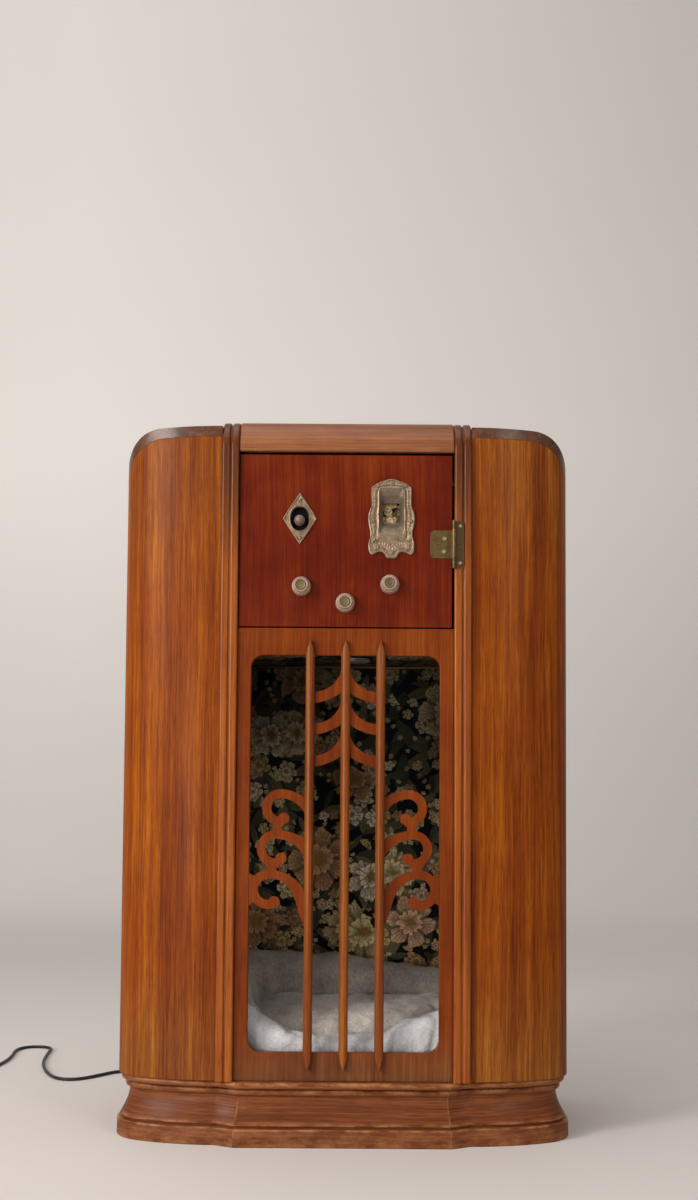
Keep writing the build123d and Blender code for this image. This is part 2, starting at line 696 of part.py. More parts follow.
def make_dial():
    plate = front(Pos(*DIAL) * dial_outline(), -3.4, 0)
    mouth = (DIAL[0], DIAL[1] + 11.8)
    collar = front(rounded(mouth, 19.2, 34.4, 3), -1.0, 0)
    throat = loft([
        Plane(origin=(mouth[0], -3.5, mouth[1]), x_dir=(1, 0, 0), z_dir=(0, 1, 0))
        * RectangleRounded(35.8, 66.0, 3),
        Plane(origin=(DIAL[0], 9.0, DIAL[1] + 10.7), x_dir=(1, 0, 0), z_dir=(0, 1, 0))
        * RectangleRounded(2 * DIAL_HOLE[0], 2 * DIAL_HOLE[1], 2),
    ])
    shell = front(rounded((DIAL[0], DIAL[1]), 19.7, 34.7, 3), 0.0, 9.0)
    nodes["dial_escutcheon"] = (plate + collar + shell) - throat


def make_front_hinge():
    x, y = DOOR_PIVOT
    bore = post(DOOR_PIVOT, PIN_R + RUN_FIT, 780, 900)
    middle_z = (HINGE_Z[0] + HINGE_Z[1]) / 2
    leaf = front(rounded((135.3, middle_z), 15.5, 19.8, 6), -LEAF_THICK, 0)
    leaf += box((130, x - 1.4), (-LEAF_THICK, 0), HINGE_Z)
    web = box((x - 2.6, x - 1.2), (y + 1, 0), (HINGE_Z[0] + FIT, HINGE_Z[1] - FIT))
    barrel = post(DOOR_PIVOT, BARREL_R, HINGE_Z[0] + FIT, HINGE_Z[1] - FIT)
    nodes["hinge_door_leaf"] = leaf + web + barrel - bore

    plate_y = (-PILASTER_PROUD - LEAF_THICK, -PILASTER_PROUD)
    plate_z = (HINGE_FRAME_Z[0] + HINGE_FRAME_Z[1]) / 2
    plate = front(rounded((160.8, plate_z), 6.2, 34.1, 5.5), *plate_y)
    gap = box((150, x + BARREL_R + FIT), (-20, 0), (HINGE_Z[0], HINGE_Z[1]))
    plate -= gap
    ends = [(HINGE_FRAME_Z[0], HINGE_Z[0]), (HINGE_Z[1], HINGE_FRAME_Z[1])]
    for end in ends:
        plate += post(DOOR_PIVOT, BARREL_R, *end)
        plate += box((x, x + 6), plate_y, (end[0] + 4, end[1] - 4))
    nodes["hinge_frame_leaf"] = plate - post(DOOR_PIVOT, PIN_R, 780, 900)
    nodes["hinge_pin"] = post(DOOR_PIVOT, PIN_R, *HINGE_FRAME_Z)


def screw(point, face_y, radius=3.2, depth=8.0):
    """Round-headed wood screw driven along y, its head on the plate's face."""
    head = Pos(point[0], face_y, point[1]) * Sphere(radius)
    head = head & rod(point, radius + 1, face_y - 1.8, face_y)
    return head + rod(point, 1.1, face_y, face_y + depth)


def make_screws():
    door = [screw((139.7, 854.0), -LEAF_THICK), screw((138.7, 835.5), -LEAF_THICK)]
    for sign in (-1, 1):
        door.append(screw((SWITCH[0], SWITCH[1] + sign * 27.5), -2.2, 2.0))
        door.append(screw((DIAL[0] + sign * 24.0, DIAL[1] - 30.0), -3.4, 1.8))
    holes = Compound(door)
    for name in ("hinge_door_leaf", "diamond_escutcheon", "dial_escutcheon", "front_door"):
        nodes[name] = nodes[name] - holes
    nodes["door_screws"] = holes
    frame = [screw((161.6, z), -PILASTER_PROUD - LEAF_THICK, 2.6) for z in (818.0, 871.0)]
    nodes["hinge_frame_screws"] = Compound(frame)
    for name in ("hinge_frame_leaf", "pilaster_right"):
        nodes[name] = nodes[name] - nodes["hinge_frame_screws"]


# ---- bed and lamp ----------------------------------------------------------------------
def make_bed():
    """Rim of four stuffed bars round a cushion: low in front, highest at the back."""
    x_low, x_high = BED_X
    y_low, y_high = BED_Y
    base = FLOOR_TOP + FIT
    middle = ((x_low + x_high) / 2, (y_low + y_high) / 2)
    outline = Pos(*middle) * RectangleRounded(x_high - x_low, y_high - y_low, BED_CORNER)
    inner_x = (x_low + BED_SIDE, x_high - BED_SIDE)
    inner_y = (y_low + BED_END, y_high - BED_END)
    well = Pos((inner_x[0] + inner_x[1]) / 2, (inner_y[0] + inner_y[1]) / 2) * Rectangle(
        inner_x[1] - inner_x[0], inner_y[1] - inner_y[0]
    )
    rim = plan(outline - well, base, BED_BACK_TOP)
    rim -= box((x_low - 5, x_high + 5), (y_low - 5, inner_y[1]), (BED_SIDE_TOP, HEIGHT))
    rim -= box((x_low - 5, x_high + 5), (y_low - 5, inner_y[0]), (BED_FRONT_TOP, HEIGHT))
    nodes["bed_bolster"] = rim
    nodes["bed_cushion"] = box(
        (inner_x[0] + 1, inner_x[1] - 1), (inner_y[0] + 1, inner_y[1] - 1), (base, CUSHION_TOP)
    )


def bend_radii(points):
    """Arc radius at each inner point: 0.45 of the shorter run over the half turn's tangent."""
    radii = []
    for before, here, after in zip(points, points[1:], points[2:]):
        first = Vector(*here) - Vector(*before)
        second = Vector(*after) - Vector(*here)
        half = radians(first.get_angle(second) / 2)
        radii.append(0.45 * min(first.length, second.length) / tan(half))
    return radii


def tube(name, points, radius):
    radii = bend_radii(points)
    path = FilletPolyline(*points, radius=radii)
    start = Plane(origin=points[0], z_dir=Vector(*points[1]) - Vector(*points[0]))
    solid = sweep(start * Circle(radius), path=path)
    ratio = solid.volume / (pi * radius ** 2 * path.length)
    print(name, "radii", [round(value, 1) for value in radii])
    print(name, "length", round(path.length, 1), "volume ratio", round(ratio, 4))
    nodes[name] = solid


def make_lamp():
    top = SHELF_Z[0] - FABRIC
    nodes["lamp_body"] = post(LAMP, LAMP_R, LAMP_BOTTOM + 4, top)
    nodes["lamp_lens"] = post(LAMP, LAMP_R - 2, LAMP_BOTTOM, LAMP_BOTTOM + 4)
    level = top - 8
    drop_x, drop_y = LEAD_DROP
    lead = [
        (16, 76.8, level), (16, 116, level), (4, 170, level), (-30, 210, level),
        (-84, 226, level), (-142, 231, level), (-200, 234, level), (-252, 236, level),
        (drop_x + 12, 238, level - 11), (drop_x, drop_y, level - 39),
    ]
    for step in range(1, LEAD_STEPS):
        share = step / LEAD_STEPS
        bow = LEAD_BOW * (1 - (2 * share - 1) ** 2)
        lead.append((drop_x - bow, drop_y, level - 39 - share * (level - 39 - 84)))
    lead += [
        (drop_x, drop_y + 1, 84), (drop_x + 8, drop_y + 16, 58),
        (GLAND[0], drop_y + 44, GLAND[1]), (GLAND[0], 303, GLAND[1]),
    ]
    tube("lamp_lead", lead, 2.0)
    nodes["lamp_lead"] = nodes["lamp_lead"] - nodes["lamp_body"]


def make_cord():
    x, z = GLAND
    collar = rod(GLAND, 9.0, 320, 324)
    taper = Pos(x, 324, z) * Rot(-90, 0, 0) * Cone(
        6.0, CORD_R + 0.8, RELIEF_END - 324, align=(Align.CENTER, Align.CENTER, Align.MIN)
    )
    neck_piece = rod(GLAND, CORD_R + 1.1, 303, 320)
    nodes["cord_gland"] = collar + taper + neck_piece
    tube("mains_cord", CORD_ROUTE, CORD_R)

    cx, cy = COIL
    section = RectangleRounded(4 * CORD_R + 1, 4 * CORD_R, 2.4)
    ring_face = Plane(origin=(cx + COIL_R, cy, 2 * CORD_R + 0.25), x_dir=(1, 0, 0), z_dir=(0, -1, 0))
    nodes["cord_coil"] = revolve(ring_face * section, axis=Axis((cx, cy, 0), (0, 0, 1)))

    left = cx - COIL_R
    boot_end = cy + BOOT_LENGTH + 4
    height = 12.0
    boot = Pos(left, cy + 4, height) * Rot(-90, 0, 0) * Cone(
        CORD_R + 0.6, 6.0, BOOT_LENGTH, align=(Align.CENTER, Align.CENTER, Align.MIN)
    )
    body = box((left - 12, left + 12), (boot_end, boot_end + PLUG_LENGTH), (0.5, 23.5))
    body = fillet(body.edges().filter_by(Axis.Y), 6)
    pins = None
    for sign in (-1, 1):
        pin = box((left + sign * 6 - 0.8, left + sign * 6 + 0.8),
                  (boot_end + PLUG_LENGTH, boot_end + PLUG_LENGTH + 17), (height - 3, height + 3))
        pins = pin if pins is None else pins + pin
    nodes["plug"] = (boot + body + pins) - nodes["cord_coil"]
    nodes["mains_cord"] = nodes["mains_cord"] - nodes["cord_coil"]


# ---- build -----------------------------------------------------------------------------
make_sides()
make_pilasters()
make_cap()
make_grille_panel()
make_fretwork()
make_bars()
make_base()
make_boards()
make_back()
make_door()
make_controls()
make_switch()
make_dial()
make_front_hinge()
make_screws()
make_bed()
make_lamp()
make_cord()

os.makedirs("parts", exist_ok=True)
for node_name, shape in nodes.items():
    export_step(Pos(0, ORIGIN_Y, 0) * shape, "parts/" + node_name + ".step")
print(len(nodes), "nodes, origin moved by", ORIGIN_Y)
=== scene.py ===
import math

import bmesh
import bpy
from mathutils import Matrix, Vector, noise
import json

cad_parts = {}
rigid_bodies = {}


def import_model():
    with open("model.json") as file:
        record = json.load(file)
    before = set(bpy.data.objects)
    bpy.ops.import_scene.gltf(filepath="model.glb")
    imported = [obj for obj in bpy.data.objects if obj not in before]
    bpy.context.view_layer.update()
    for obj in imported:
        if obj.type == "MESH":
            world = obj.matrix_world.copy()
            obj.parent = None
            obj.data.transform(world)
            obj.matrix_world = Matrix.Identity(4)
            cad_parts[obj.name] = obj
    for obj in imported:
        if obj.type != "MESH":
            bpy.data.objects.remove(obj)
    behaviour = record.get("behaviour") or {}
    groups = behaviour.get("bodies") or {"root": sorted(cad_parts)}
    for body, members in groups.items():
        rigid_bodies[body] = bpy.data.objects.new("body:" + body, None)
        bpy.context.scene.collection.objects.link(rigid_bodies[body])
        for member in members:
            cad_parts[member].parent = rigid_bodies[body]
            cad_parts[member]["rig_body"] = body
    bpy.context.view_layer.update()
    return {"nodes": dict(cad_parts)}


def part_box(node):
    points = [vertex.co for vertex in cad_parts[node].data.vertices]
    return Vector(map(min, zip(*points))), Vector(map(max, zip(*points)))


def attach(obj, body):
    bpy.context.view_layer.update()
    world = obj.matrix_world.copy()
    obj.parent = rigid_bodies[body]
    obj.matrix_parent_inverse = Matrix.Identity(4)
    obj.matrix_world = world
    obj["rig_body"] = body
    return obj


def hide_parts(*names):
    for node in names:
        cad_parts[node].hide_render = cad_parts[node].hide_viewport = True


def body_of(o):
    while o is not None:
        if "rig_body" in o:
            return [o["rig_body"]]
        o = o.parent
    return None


# A bow-fronted console cabinet made into a pet den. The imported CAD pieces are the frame;
# this script adds the camera, light, materials and the pieces that need finer meshes.
# Lengths are in metres.

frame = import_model()
NODES = frame["nodes"]
MM = 0.001

FACE_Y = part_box("grille_panel")[0][1]          # front face of the grille panel
BACK_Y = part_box("side_panel_left")[1][1]
TOP_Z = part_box("top_cap")[1][2]


# ---- camera, light and floor -----------------------------------------------------------
def make_camera():
    """Low camera in front, tilted up a little, with the lens shifted down to the floor."""
    pitch = math.radians(3.18)
    roll = math.radians(0.4)
    forward = Vector((0, math.cos(pitch), math.sin(pitch)))
    level = Vector((1, 0, 0))
    upright = level.cross(forward)
    right = math.cos(roll) * level + math.sin(roll) * upright
    up = math.cos(roll) * upright - math.sin(roll) * level
    data = bpy.data.cameras.new("camera")
    data.sensor_fit = "VERTICAL"
    data.sensor_height = 36.0
    data.lens = 40.31
    data.shift_y = 0.1125
    camera = bpy.data.objects.new("camera", data)
    turn = Matrix((right, up, -forward)).transposed().to_4x4()
    camera.matrix_world = Matrix.Translation((0.0054, FACE_Y - 1.9, 0.4674)) @ turn
    bpy.context.collection.objects.link(camera)
    bpy.context.scene.camera = camera


def area_light(name, place, target, size, power, colour=(1, 1, 1)):
    data = bpy.data.lights.new(name, "AREA")
    data.shape = "RECTANGLE"
    data.size, data.size_y = size
    data.energy = power
    data.color = colour
    light = bpy.data.objects.new(name, data)
    light.location = place
    light.rotation_euler = (Vector(target) - Vector(place)).to_track_quat("-Z", "Y").to_euler()
    bpy.context.collection.objects.link(light)


def make_light():
    """Soft warm daylight from the left front over an even pale surround."""
    world = bpy.data.worlds.new("surround")
    world.use_nodes = True
    background = world.node_tree.nodes["Background"]
    background.inputs["Color"].default_value = (0.90, 0.84, 0.79, 1)
    background.inputs["Strength"].default_value = 0.34
    bpy.context.scene.world = world
    middle = (0, 0, 0.55)
    warm = (1.0, 0.945, 0.90)
    area_light("window", (-2.75, -2.35, 1.7), middle, (1.0, 1.5), 88, warm)
    area_light("low_fill", (-1.75, -3.3, 0.55), (0, 0, 0.35), (0.7, 0.8), 29, warm)
    area_light("right_fill", (2.1, -3.2, 1.6), (0, 0, 0.75), (0.8, 0.9), 20, warm)
    area_light("top_light", (-0.3, -0.5, 3.2), middle, (2.4, 2.0), 30, warm)
    bpy.context.scene.view_settings.view_transform = "Standard"


def make_floor():
    """Seamless paper: the floor curves up into the wall behind."""
    half, near, bend, radius, high = 12.0, -9.0, 3.6, 2.2, 9.0
    line = [(near, 0.0), (bend, 0.0)]
    for i in range(1, 25):
        turn = math.pi / 2 * i / 24
        line.append((bend + radius * math.sin(turn), radius * (1 - math.cos(turn))))
    line.append((bend + radius, high))
    points = [(side * half, y, z) for y, z in line for side in (-1, 1)]
    faces = [(2 * k, 2 * k + 1, 2 * k + 3, 2 * k + 2) for k in range(len(line) - 1)]
    mesh = bpy.data.meshes.new("floor")
    mesh.from_pydata(points, [], faces)
    for face in mesh.polygons:
        face.use_smooth = True
    floor = bpy.data.objects.new("floor", mesh)
    bpy.context.collection.objects.link(floor)
    paint = Paint("paper")
    cloud = paint.noise(paint.place(), 1.4, 3.0)
    paint.set("Base Color", paint.mix(cloud, (0.71, 0.685, 0.67), (0.75, 0.73, 0.715)))
    paint.set("Roughness", 0.9)
    paint.set("Specular IOR Level", 0.1)
    # Painted light: the paper glows by emission, more further back, towards the left and higher up.
    across, behind, rise = paint.parts(paint.place())
    glow = paint.math("MULTIPLY", paint.span(behind, 1.6, 5.2, smooth=True), paint.span(across, -1.6, 2.0, 0.70, 0.34))
    glow = paint.math("MULTIPLY", glow, paint.span(rise, 0.4, 2.6, 1.0, 2.2))
    paint.set("Emission Color", (1.0, 0.93, 0.875, 1))
    paint.set("Emission Strength", paint.math("MULTIPLY", glow, 0.27))
    mesh.materials.append(paint.mat)


# ---- material helpers ------------------------------------------------------------------
class Paint:
    """One material's nodes, added a call at a time. Values are numbers or output sockets."""

    def __init__(self, name):
        self.mat = bpy.data.materials.new(name)
        self.mat.use_nodes = True
        self.tree = self.mat.node_tree
        self.bsdf = self.tree.nodes["Principled BSDF"]

    def feed(self, socket, value):
        if isinstance(value, bpy.types.NodeSocket):
            self.tree.links.new(value, socket)
        else:
            socket.default_value = value

    def set(self, name, value):
        self.feed(self.bsdf.inputs[name], value)

    def add(self, kind, inputs=None, **settings):
        node = self.tree.nodes.new(kind)
        for key, value in settings.items():
            setattr(node, key, value)
        for key, value in (inputs or {}).items():
            self.feed(node.inputs[key], value)
        return node

    def place(self, source="Object"):
        return self.add("ShaderNodeTexCoord").outputs[source]

    def math(self, operation, a, b=0.0, c=0.0, clamp=False):
        node = self.add("ShaderNodeMath", {0: a, 1: b, 2: c}, operation=operation)
        node.use_clamp = clamp
        return node.outputs[0]

    def vector(self, operation, a, b=(0.0, 0.0, 0.0)):
        node = self.add("ShaderNodeVectorMath", {0: a, 1: b}, operation=operation)
        return node.outputs["Value" if operation in ("LENGTH", "DISTANCE") else "Vector"]

    def scaled(self, vector, factor):
        node = self.add("ShaderNodeVectorMath", {0: vector, "Scale": factor}, operation="SCALE")
        return node.outputs["Vector"]

    def parts(self, vector):
        return self.add("ShaderNodeSeparateXYZ", {0: vector}).outputs

    def join(self, x, y, z):
        return self.add("ShaderNodeCombineXYZ", {0: x, 1: y, 2: z}).outputs[0]

    def noise(self, vector, scale, detail=2.0, rough=0.5, colour=False):
        node = self.add("ShaderNodeTexNoise", {
            "Vector": vector, "Scale": scale, "Detail": detail, "Roughness": rough,
        })
        return node.outputs["Color" if colour else "Fac"]

    def span(self, value, low, high, new_low=0.0, new_high=1.0, smooth=False):
        node = self.add("ShaderNodeMapRange", {
            "Value": value, "From Min": low, "From Max": high,
            "To Min": new_low, "To Max": new_high,
        })
        node.interpolation_type = "SMOOTHSTEP" if smooth else "LINEAR"
        return node.outputs["Result"]

    def mix(self, factor, a, b, mode="MIX"):
        node = self.add("ShaderNodeMix", data_type="RGBA", blend_type=mode)
        for key, value in (("Factor_Float", factor), ("A_Color", a), ("B_Color", b)):
            socket = next(s for s in node.inputs if s.identifier == key)
            if isinstance(value, tuple) and len(value) == 3:
                value = (*value, 1.0)
            self.feed(socket, value)
        return next(s for s in node.outputs if s.identifier == "Result_Color")

    def ramp(self, factor, stops):
        node = self.add("ShaderNodeValToRGB", {"Fac": factor})
        elements = node.color_ramp.elements
        while len(elements) < len(stops):
            elements.new(0.5)
        for element, (place, colour) in zip(elements, stops):
            element.position = place
            element.color = (*colour, 1.0)
        return node.outputs["Color"]

    def bump(self, height, distance, strength=1.0):
        node = self.add("ShaderNodeBump", {
            "Height": height, "Distance": distance, "Strength": strength,
        })
        self.set("Normal", node.outputs["Normal"])


GRAIN = {"x": (0.016, 1.0, 1.0), "y": (1.0, 0.016, 1.0), "z": (1.0, 1.0, 0.016)}


def wood(name, grain, shades, bands=1.0, pores=0.5, rough=0.3, coat=0.2, wear_and_highlight_colour=None, sheen=0.16,
         height_tints=(), lines=1.0, mottle=0.24, source="Object"):
    """Varnished wood: ribbon bands, fine streaks and short pores drawn out along the grain."""
    paint = Paint(name)
    spot = paint.place(source)
    sway = paint.noise(spot, 1.7, 2.0, colour=True)
    sway = paint.scaled(paint.vector("SUBTRACT", sway, (0.5, 0.5, 0.5)), 0.022)
    along = paint.vector("MULTIPLY", paint.vector("ADD", spot, sway), GRAIN[grain])
    band = paint.span(paint.noise(along, 26.0, 2.0, 0.5), 0.34, 0.66)
    ribbon = paint.span(paint.noise(along, 95.0, 3.0, 0.55), 0.34, 0.66)
    streak = paint.span(paint.noise(along, 330.0, 3.0, 0.6), 0.32, 0.68)
    short = paint.vector("MULTIPLY", spot, tuple(value if value == 1.0 else 0.035 for value in GRAIN[grain]))
    pore = paint.noise(short, 900.0, 2.0, 0.5)
    cloud = paint.span(paint.noise(spot, 5.0, 4.0, 0.6), 0.3, 0.7)
    tone = paint.math("MULTIPLY_ADD", band, 0.30 * bands, paint.math("MULTIPLY", ribbon, 0.30 * lines))
    tone = paint.math("MULTIPLY_ADD", streak, 0.36 * lines, tone)
    tone = paint.math("MULTIPLY_ADD", cloud, mottle, tone)
    whole = 0.30 * bands + 0.66 * lines + mottle
    tone = paint.span(tone, 0.14 * whole, 0.86 * whole)
    colour = paint.ramp(tone, [(0.0, shades[0]), (0.5, shades[1]), (1.0, shades[2])])
    line = paint.span(pore, 0.40, 0.47, 1.0, 0.0)
    dark = tuple(value * 0.5 for value in shades[0])
    colour = paint.mix(paint.math("MULTIPLY", line, pores), colour, dark)
    # Pale marks on the marked vertices: real edge wear together with painted highlights on the plinth's lit edges, bead
    # tops and mitres.
    if wear_and_highlight_colour is not None:
        mark = paint.add("ShaderNodeAttribute", attribute_name="wear").outputs["Fac"]
        drawn = paint.vector("MULTIPLY", spot, (0.16, 0.3, 1.0))
        patch = paint.span(paint.noise(drawn, 150.0, 5.0, 0.75), 0.42, 0.62)
        colour = paint.mix(paint.math("MULTIPLY", mark, patch, clamp=True), colour, wear_and_highlight_colour)
    # Colour multiplied by a tint that fades in between two heights.
    for low, high, tint in height_tints:
        rise = paint.span(paint.math("MULTIPLY_ADD", cloud, 0.05, paint.parts(spot)[2]), low, high, smooth=True)
        colour = paint.mix(rise, colour, paint.mix(1.0, colour, tint, mode="MULTIPLY"))
    paint.set("Base Color", colour)
    paint.set("Roughness", paint.span(cloud, 0.0, 1.0, rough, rough + 0.12))
    paint.set("Specular IOR Level", sheen)
    paint.set("Coat Weight", coat)
    paint.set("Coat Roughness", 0.22)
    height = paint.math("MULTIPLY_ADD", streak, 0.5, paint.math("MULTIPLY", line, -0.6))
    paint.bump(height, 0.0003, 0.35)
    return paint.mat


def metal(name, bright, dark, patina, rough=0.38, metallic=0.75):
    """Old brass: dull and dark in the hollows, rubbed bright on the edges, with a painted highlight on those edges as
    well.
    """
    paint = Paint(name)
    spot = paint.place()
    blotch = paint.span(paint.noise(spot, 90.0, 5.0, 0.65), 0.35, 0.65)
    speck = paint.span(paint.noise(spot, 900.0, 3.0, 0.6), 0.35, 0.65)
    bevel = paint.add("ShaderNodeBevel", {"Radius": 0.0012}, samples=4).outputs["Normal"]
    flat = paint.add("ShaderNodeNewGeometry").outputs["Normal"]
    alike = paint.add("ShaderNodeVectorMath", {0: bevel, 1: flat}, operation="DOT_PRODUCT").outputs["Value"]
    edge = paint.span(alike, 0.80, 0.985, 1.0, 0.0)
    colour = paint.mix(blotch, dark, patina)
    colour = paint.mix(paint.math("MULTIPLY", speck, 0.45), colour, bright)
    # Pale edges from the bevel test: rubbed wear together with a painted highlight on every sharp edge.
    colour = paint.mix(paint.math("MULTIPLY", edge, 0.8), colour, bright)
    paint.set("Base Color", colour)
    paint.set("Metallic", metallic)
    paint.set("Roughness", paint.span(blotch, 0.0, 1.0, rough + 0.16, rough))
    paint.bump(paint.math("MULTIPLY_ADD", blotch, 0.6, paint.math("MULTIPLY", speck, 0.4)), 0.0003, 0.5)
    return paint.mat


def plain(name, low, high, scale, rough, distance=0.0003, metallic=0.0, spec=0.4):
    """Plastic, rubber or steel with a slight mottle and a fine surface texture."""
    paint = Paint(name)
    spot = paint.place()
    mottle = paint.span(paint.noise(spot, scale, 4.0, 0.6), 0.3, 0.7)
    scuff = paint.noise(spot, scale * 9.0, 3.0, 0.6)
    paint.set("Base Color", paint.mix(mottle, low, high))
    paint.set("Roughness", paint.span(scuff, 0.3, 0.7, rough - 0.07, rough + 0.08))
    paint.set("Metallic", metallic)
    paint.set("Specular IOR Level", spec)
    paint.bump(scuff, distance, 0.4)
    return paint.mat


def flower_layer(paint, spot, cell, petals, size, depth, seed, keep):
    """Two-ringed flowers scattered one to a cell: the mask, each flower's random number, shade and heart."""
    moved = paint.vector("ADD", paint.scaled(spot, 1.0 / cell), (seed, seed * 0.7, 0.0))
    node = paint.add("ShaderNodeTexVoronoi", {"Vector": moved, "Scale": 1.0, "Randomness": 0.9},
                     voronoi_dimensions="2D", feature="F1")
    away = paint.parts(paint.vector("SUBTRACT", moved, node.outputs["Position"]))
    pick = paint.parts(node.outputs["Color"])
    turn = paint.math("MULTIPLY_ADD", pick[2], 6.28, paint.math("ARCTAN2", away[1], away[0]))
    wave = paint.math("MULTIPLY", turn, petals / 2.0)
    lobe = paint.math("ABSOLUTE", paint.math("COSINE", wave))
    inner_lobe = paint.math("ABSOLUTE", paint.math("SINE", wave))
    ragged = paint.span(paint.noise(moved, 5.0, 3.0, 0.6), 0.25, 0.75, -0.16, 0.16)
    grown = paint.math("MULTIPLY_ADD", pick[1], 0.35 * size, 0.75 * size)
    reach = paint.math("MULTIPLY", paint.math("MULTIPLY_ADD", paint.math("POWER", lobe, 0.6), depth, 1.0 - depth), grown)
    share = paint.math("ADD", paint.math("DIVIDE", node.outputs["Distance"], reach), ragged)
    inner_reach = paint.math("MULTIPLY_ADD", paint.math("POWER", inner_lobe, 0.6), 0.24, 0.34)
    inner = paint.math("DIVIDE", share, inner_reach)
    kept = paint.span(pick[1], 1.0 - keep, 1.02 - keep)
    mask = paint.math("MULTIPLY", paint.span(share, 0.95, 1.0, 1.0, 0.0), kept)
    crease = paint.span(lobe, 0.0, 0.45, 0.25, 1.0)
    vein = paint.math("MULTIPLY_ADD", paint.math("SINE", paint.math("MULTIPLY", turn, petals * 7.0)), 0.13, 0.87)
    outer_tone = paint.math("MULTIPLY", paint.math("MULTIPLY", crease, vein), paint.span(share, 0.35, 0.95, 0.35, 1.0))
    inner_tone = paint.math("MULTIPLY", paint.span(inner, 0.25, 1.0, 0.45, 1.1), paint.span(inner_lobe, 0.0, 0.4, 0.5, 1.0))
    inside = paint.span(inner, 0.96, 1.0, 1.0, 0.0)
    shade = paint.math("ADD", paint.math("MULTIPLY", inner_tone, inside),
                       paint.math("MULTIPLY", outer_tone, paint.math("SUBTRACT", 1.0, inside)), clamp=True)
    heart = paint.span(share, 0.10, 0.20, 1.0, 0.0)
    return mask, pick[0], shade, heart


def leaf_layer(paint, spot, cell, length, width, seed):
    moved = paint.vector("ADD", paint.scaled(spot, 1.0 / cell), (seed, seed * 1.3, 0.0))
    node = paint.add("ShaderNodeTexVoronoi", {"Vector": moved, "Scale": 1.0, "Randomness": 1.0},
                     voronoi_dimensions="2D", feature="F1")
    away = paint.parts(paint.vector("SUBTRACT", moved, node.outputs["Position"]))
    pick = paint.parts(node.outputs["Color"])
    turn = paint.math("MULTIPLY", pick[2], 6.28)
    c, s = paint.math("COSINE", turn), paint.math("SINE", turn)
    u = paint.math("ADD", paint.math("MULTIPLY", away[0], c), paint.math("MULTIPLY", away[1], s))
    v = paint.math("SUBTRACT", paint.math("MULTIPLY", away[1], c), paint.math("MULTIPLY", away[0], s))
    slim = paint.math("SUBTRACT", 1.0, paint.math("POWER", paint.math("ABSOLUTE", paint.math("DIVIDE", u, length)), 1.6))
    inside = paint.math("SUBTRACT", paint.math("MULTIPLY", slim, width), paint.math("ABSOLUTE", v))
    mask = paint.span(inside, 0.0, 0.012, 0.0, 1.0)
    rib = paint.span(paint.math("ABSOLUTE", v), 0.0, 0.018, 0.45, 1.0)
    return mask, pick[0], rib


def make_floral(name, more=0.0):
    """Woven cloth: pale flowers, small blossom and grey-green leaves on a near-black ground."""
    paint = Paint(name)
    spot = paint.place("UV")
    wobble = paint.vector("SUBTRACT", paint.noise(spot, 60.0, 2.0, colour=True), (0.5, 0.5, 0.5))
    spot = paint.vector("ADD", spot, paint.scaled(wobble, 0.006))
    colour = (0.006, 0.006, 0.009)
    for cell, length, width, seed in ((0.046, 0.62, 0.22, 3.1), (0.060, 0.66, 0.20, 9.4), (0.034, 0.55, 0.17, 5.7)):
        mask, pick, rib = leaf_layer(paint, spot, cell, length, width, seed)
        green = paint.ramp(pick, [(0.0, (0.022, 0.028, 0.022)), (0.5, (0.070, 0.072, 0.044)), (1.0, (0.15, 0.12, 0.062))])
        green = paint.mix(rib, (0.012, 0.012, 0.010), green)
        colour = paint.mix(mask, colour, green)
    tints = [(0.0, (0.62, 0.45, 0.18)), (0.35, (0.86, 0.74, 0.46)), (0.6, (0.52, 0.28, 0.14)), (0.72, (0.74, 0.48, 0.31)), (1.0, (0.92, 0.86, 0.68))]
    touch = paint.span(paint.noise(spot, 260.0, 4.0, 0.7), 0.34, 0.62, 0.45, 1.35)
    layers = ((0.010, 5, 0.40, 0.45, 1.9, 0.16), (0.021, 5, 0.42, 0.42, 4.3, 0.26), (0.040, 6, 0.44, 0.34, 7.7, 0.40),
              (0.082, 6, 0.46, 0.34, 0.6, 0.48), (0.120, 7, 0.40, 0.26, 12.3, 0.22))
    for cell, petals, size, depth, seed, keep in layers:
        mask, pick, shade, heart = flower_layer(paint, spot, cell, petals, size, depth, seed, keep + more)
        tint = paint.ramp(pick, tints)
        worked = paint.math("MULTIPLY", paint.math("POWER", shade, 1.5), touch)
        body = paint.mix(worked, (0.045, 0.026, 0.014), tint)
        body = paint.mix(heart, body, (0.24, 0.13, 0.03))
        colour = paint.mix(mask, colour, body)
    weave = paint.parts(paint.scaled(paint.place("UV"), 1400.0))
    thread = paint.math("MULTIPLY", paint.math("SINE", weave[0]), paint.math("SINE", weave[1]))
    mottle_and_top_shade = paint.span(paint.noise(paint.place("UV"), 9.0, 3.0), 0.3, 0.7, 1.0, 1.7)
    # Painted shade: over the random mottle, the cloth darkens towards the top of the den.
    height = paint.parts(paint.place("UV"))[1]
    mottle_and_top_shade = paint.math("MULTIPLY", mottle_and_top_shade, paint.span(height, 0.36, 0.62, 1.0, 0.34, smooth=True))
    tone = paint.math("MULTIPLY", mottle_and_top_shade, paint.math("MULTIPLY_ADD", thread, 0.12, 0.9))
    colour = paint.mix(1.0, colour, paint.join(tone, tone, paint.math("MULTIPLY", tone, 0.92)), mode="MULTIPLY")
    paint.set("Base Color", colour)
    paint.set("Roughness", 0.9)
    paint.set("Specular IOR Level", 0.2)
    paint.bump(thread, 0.0002, 0.5)
    return paint.mat


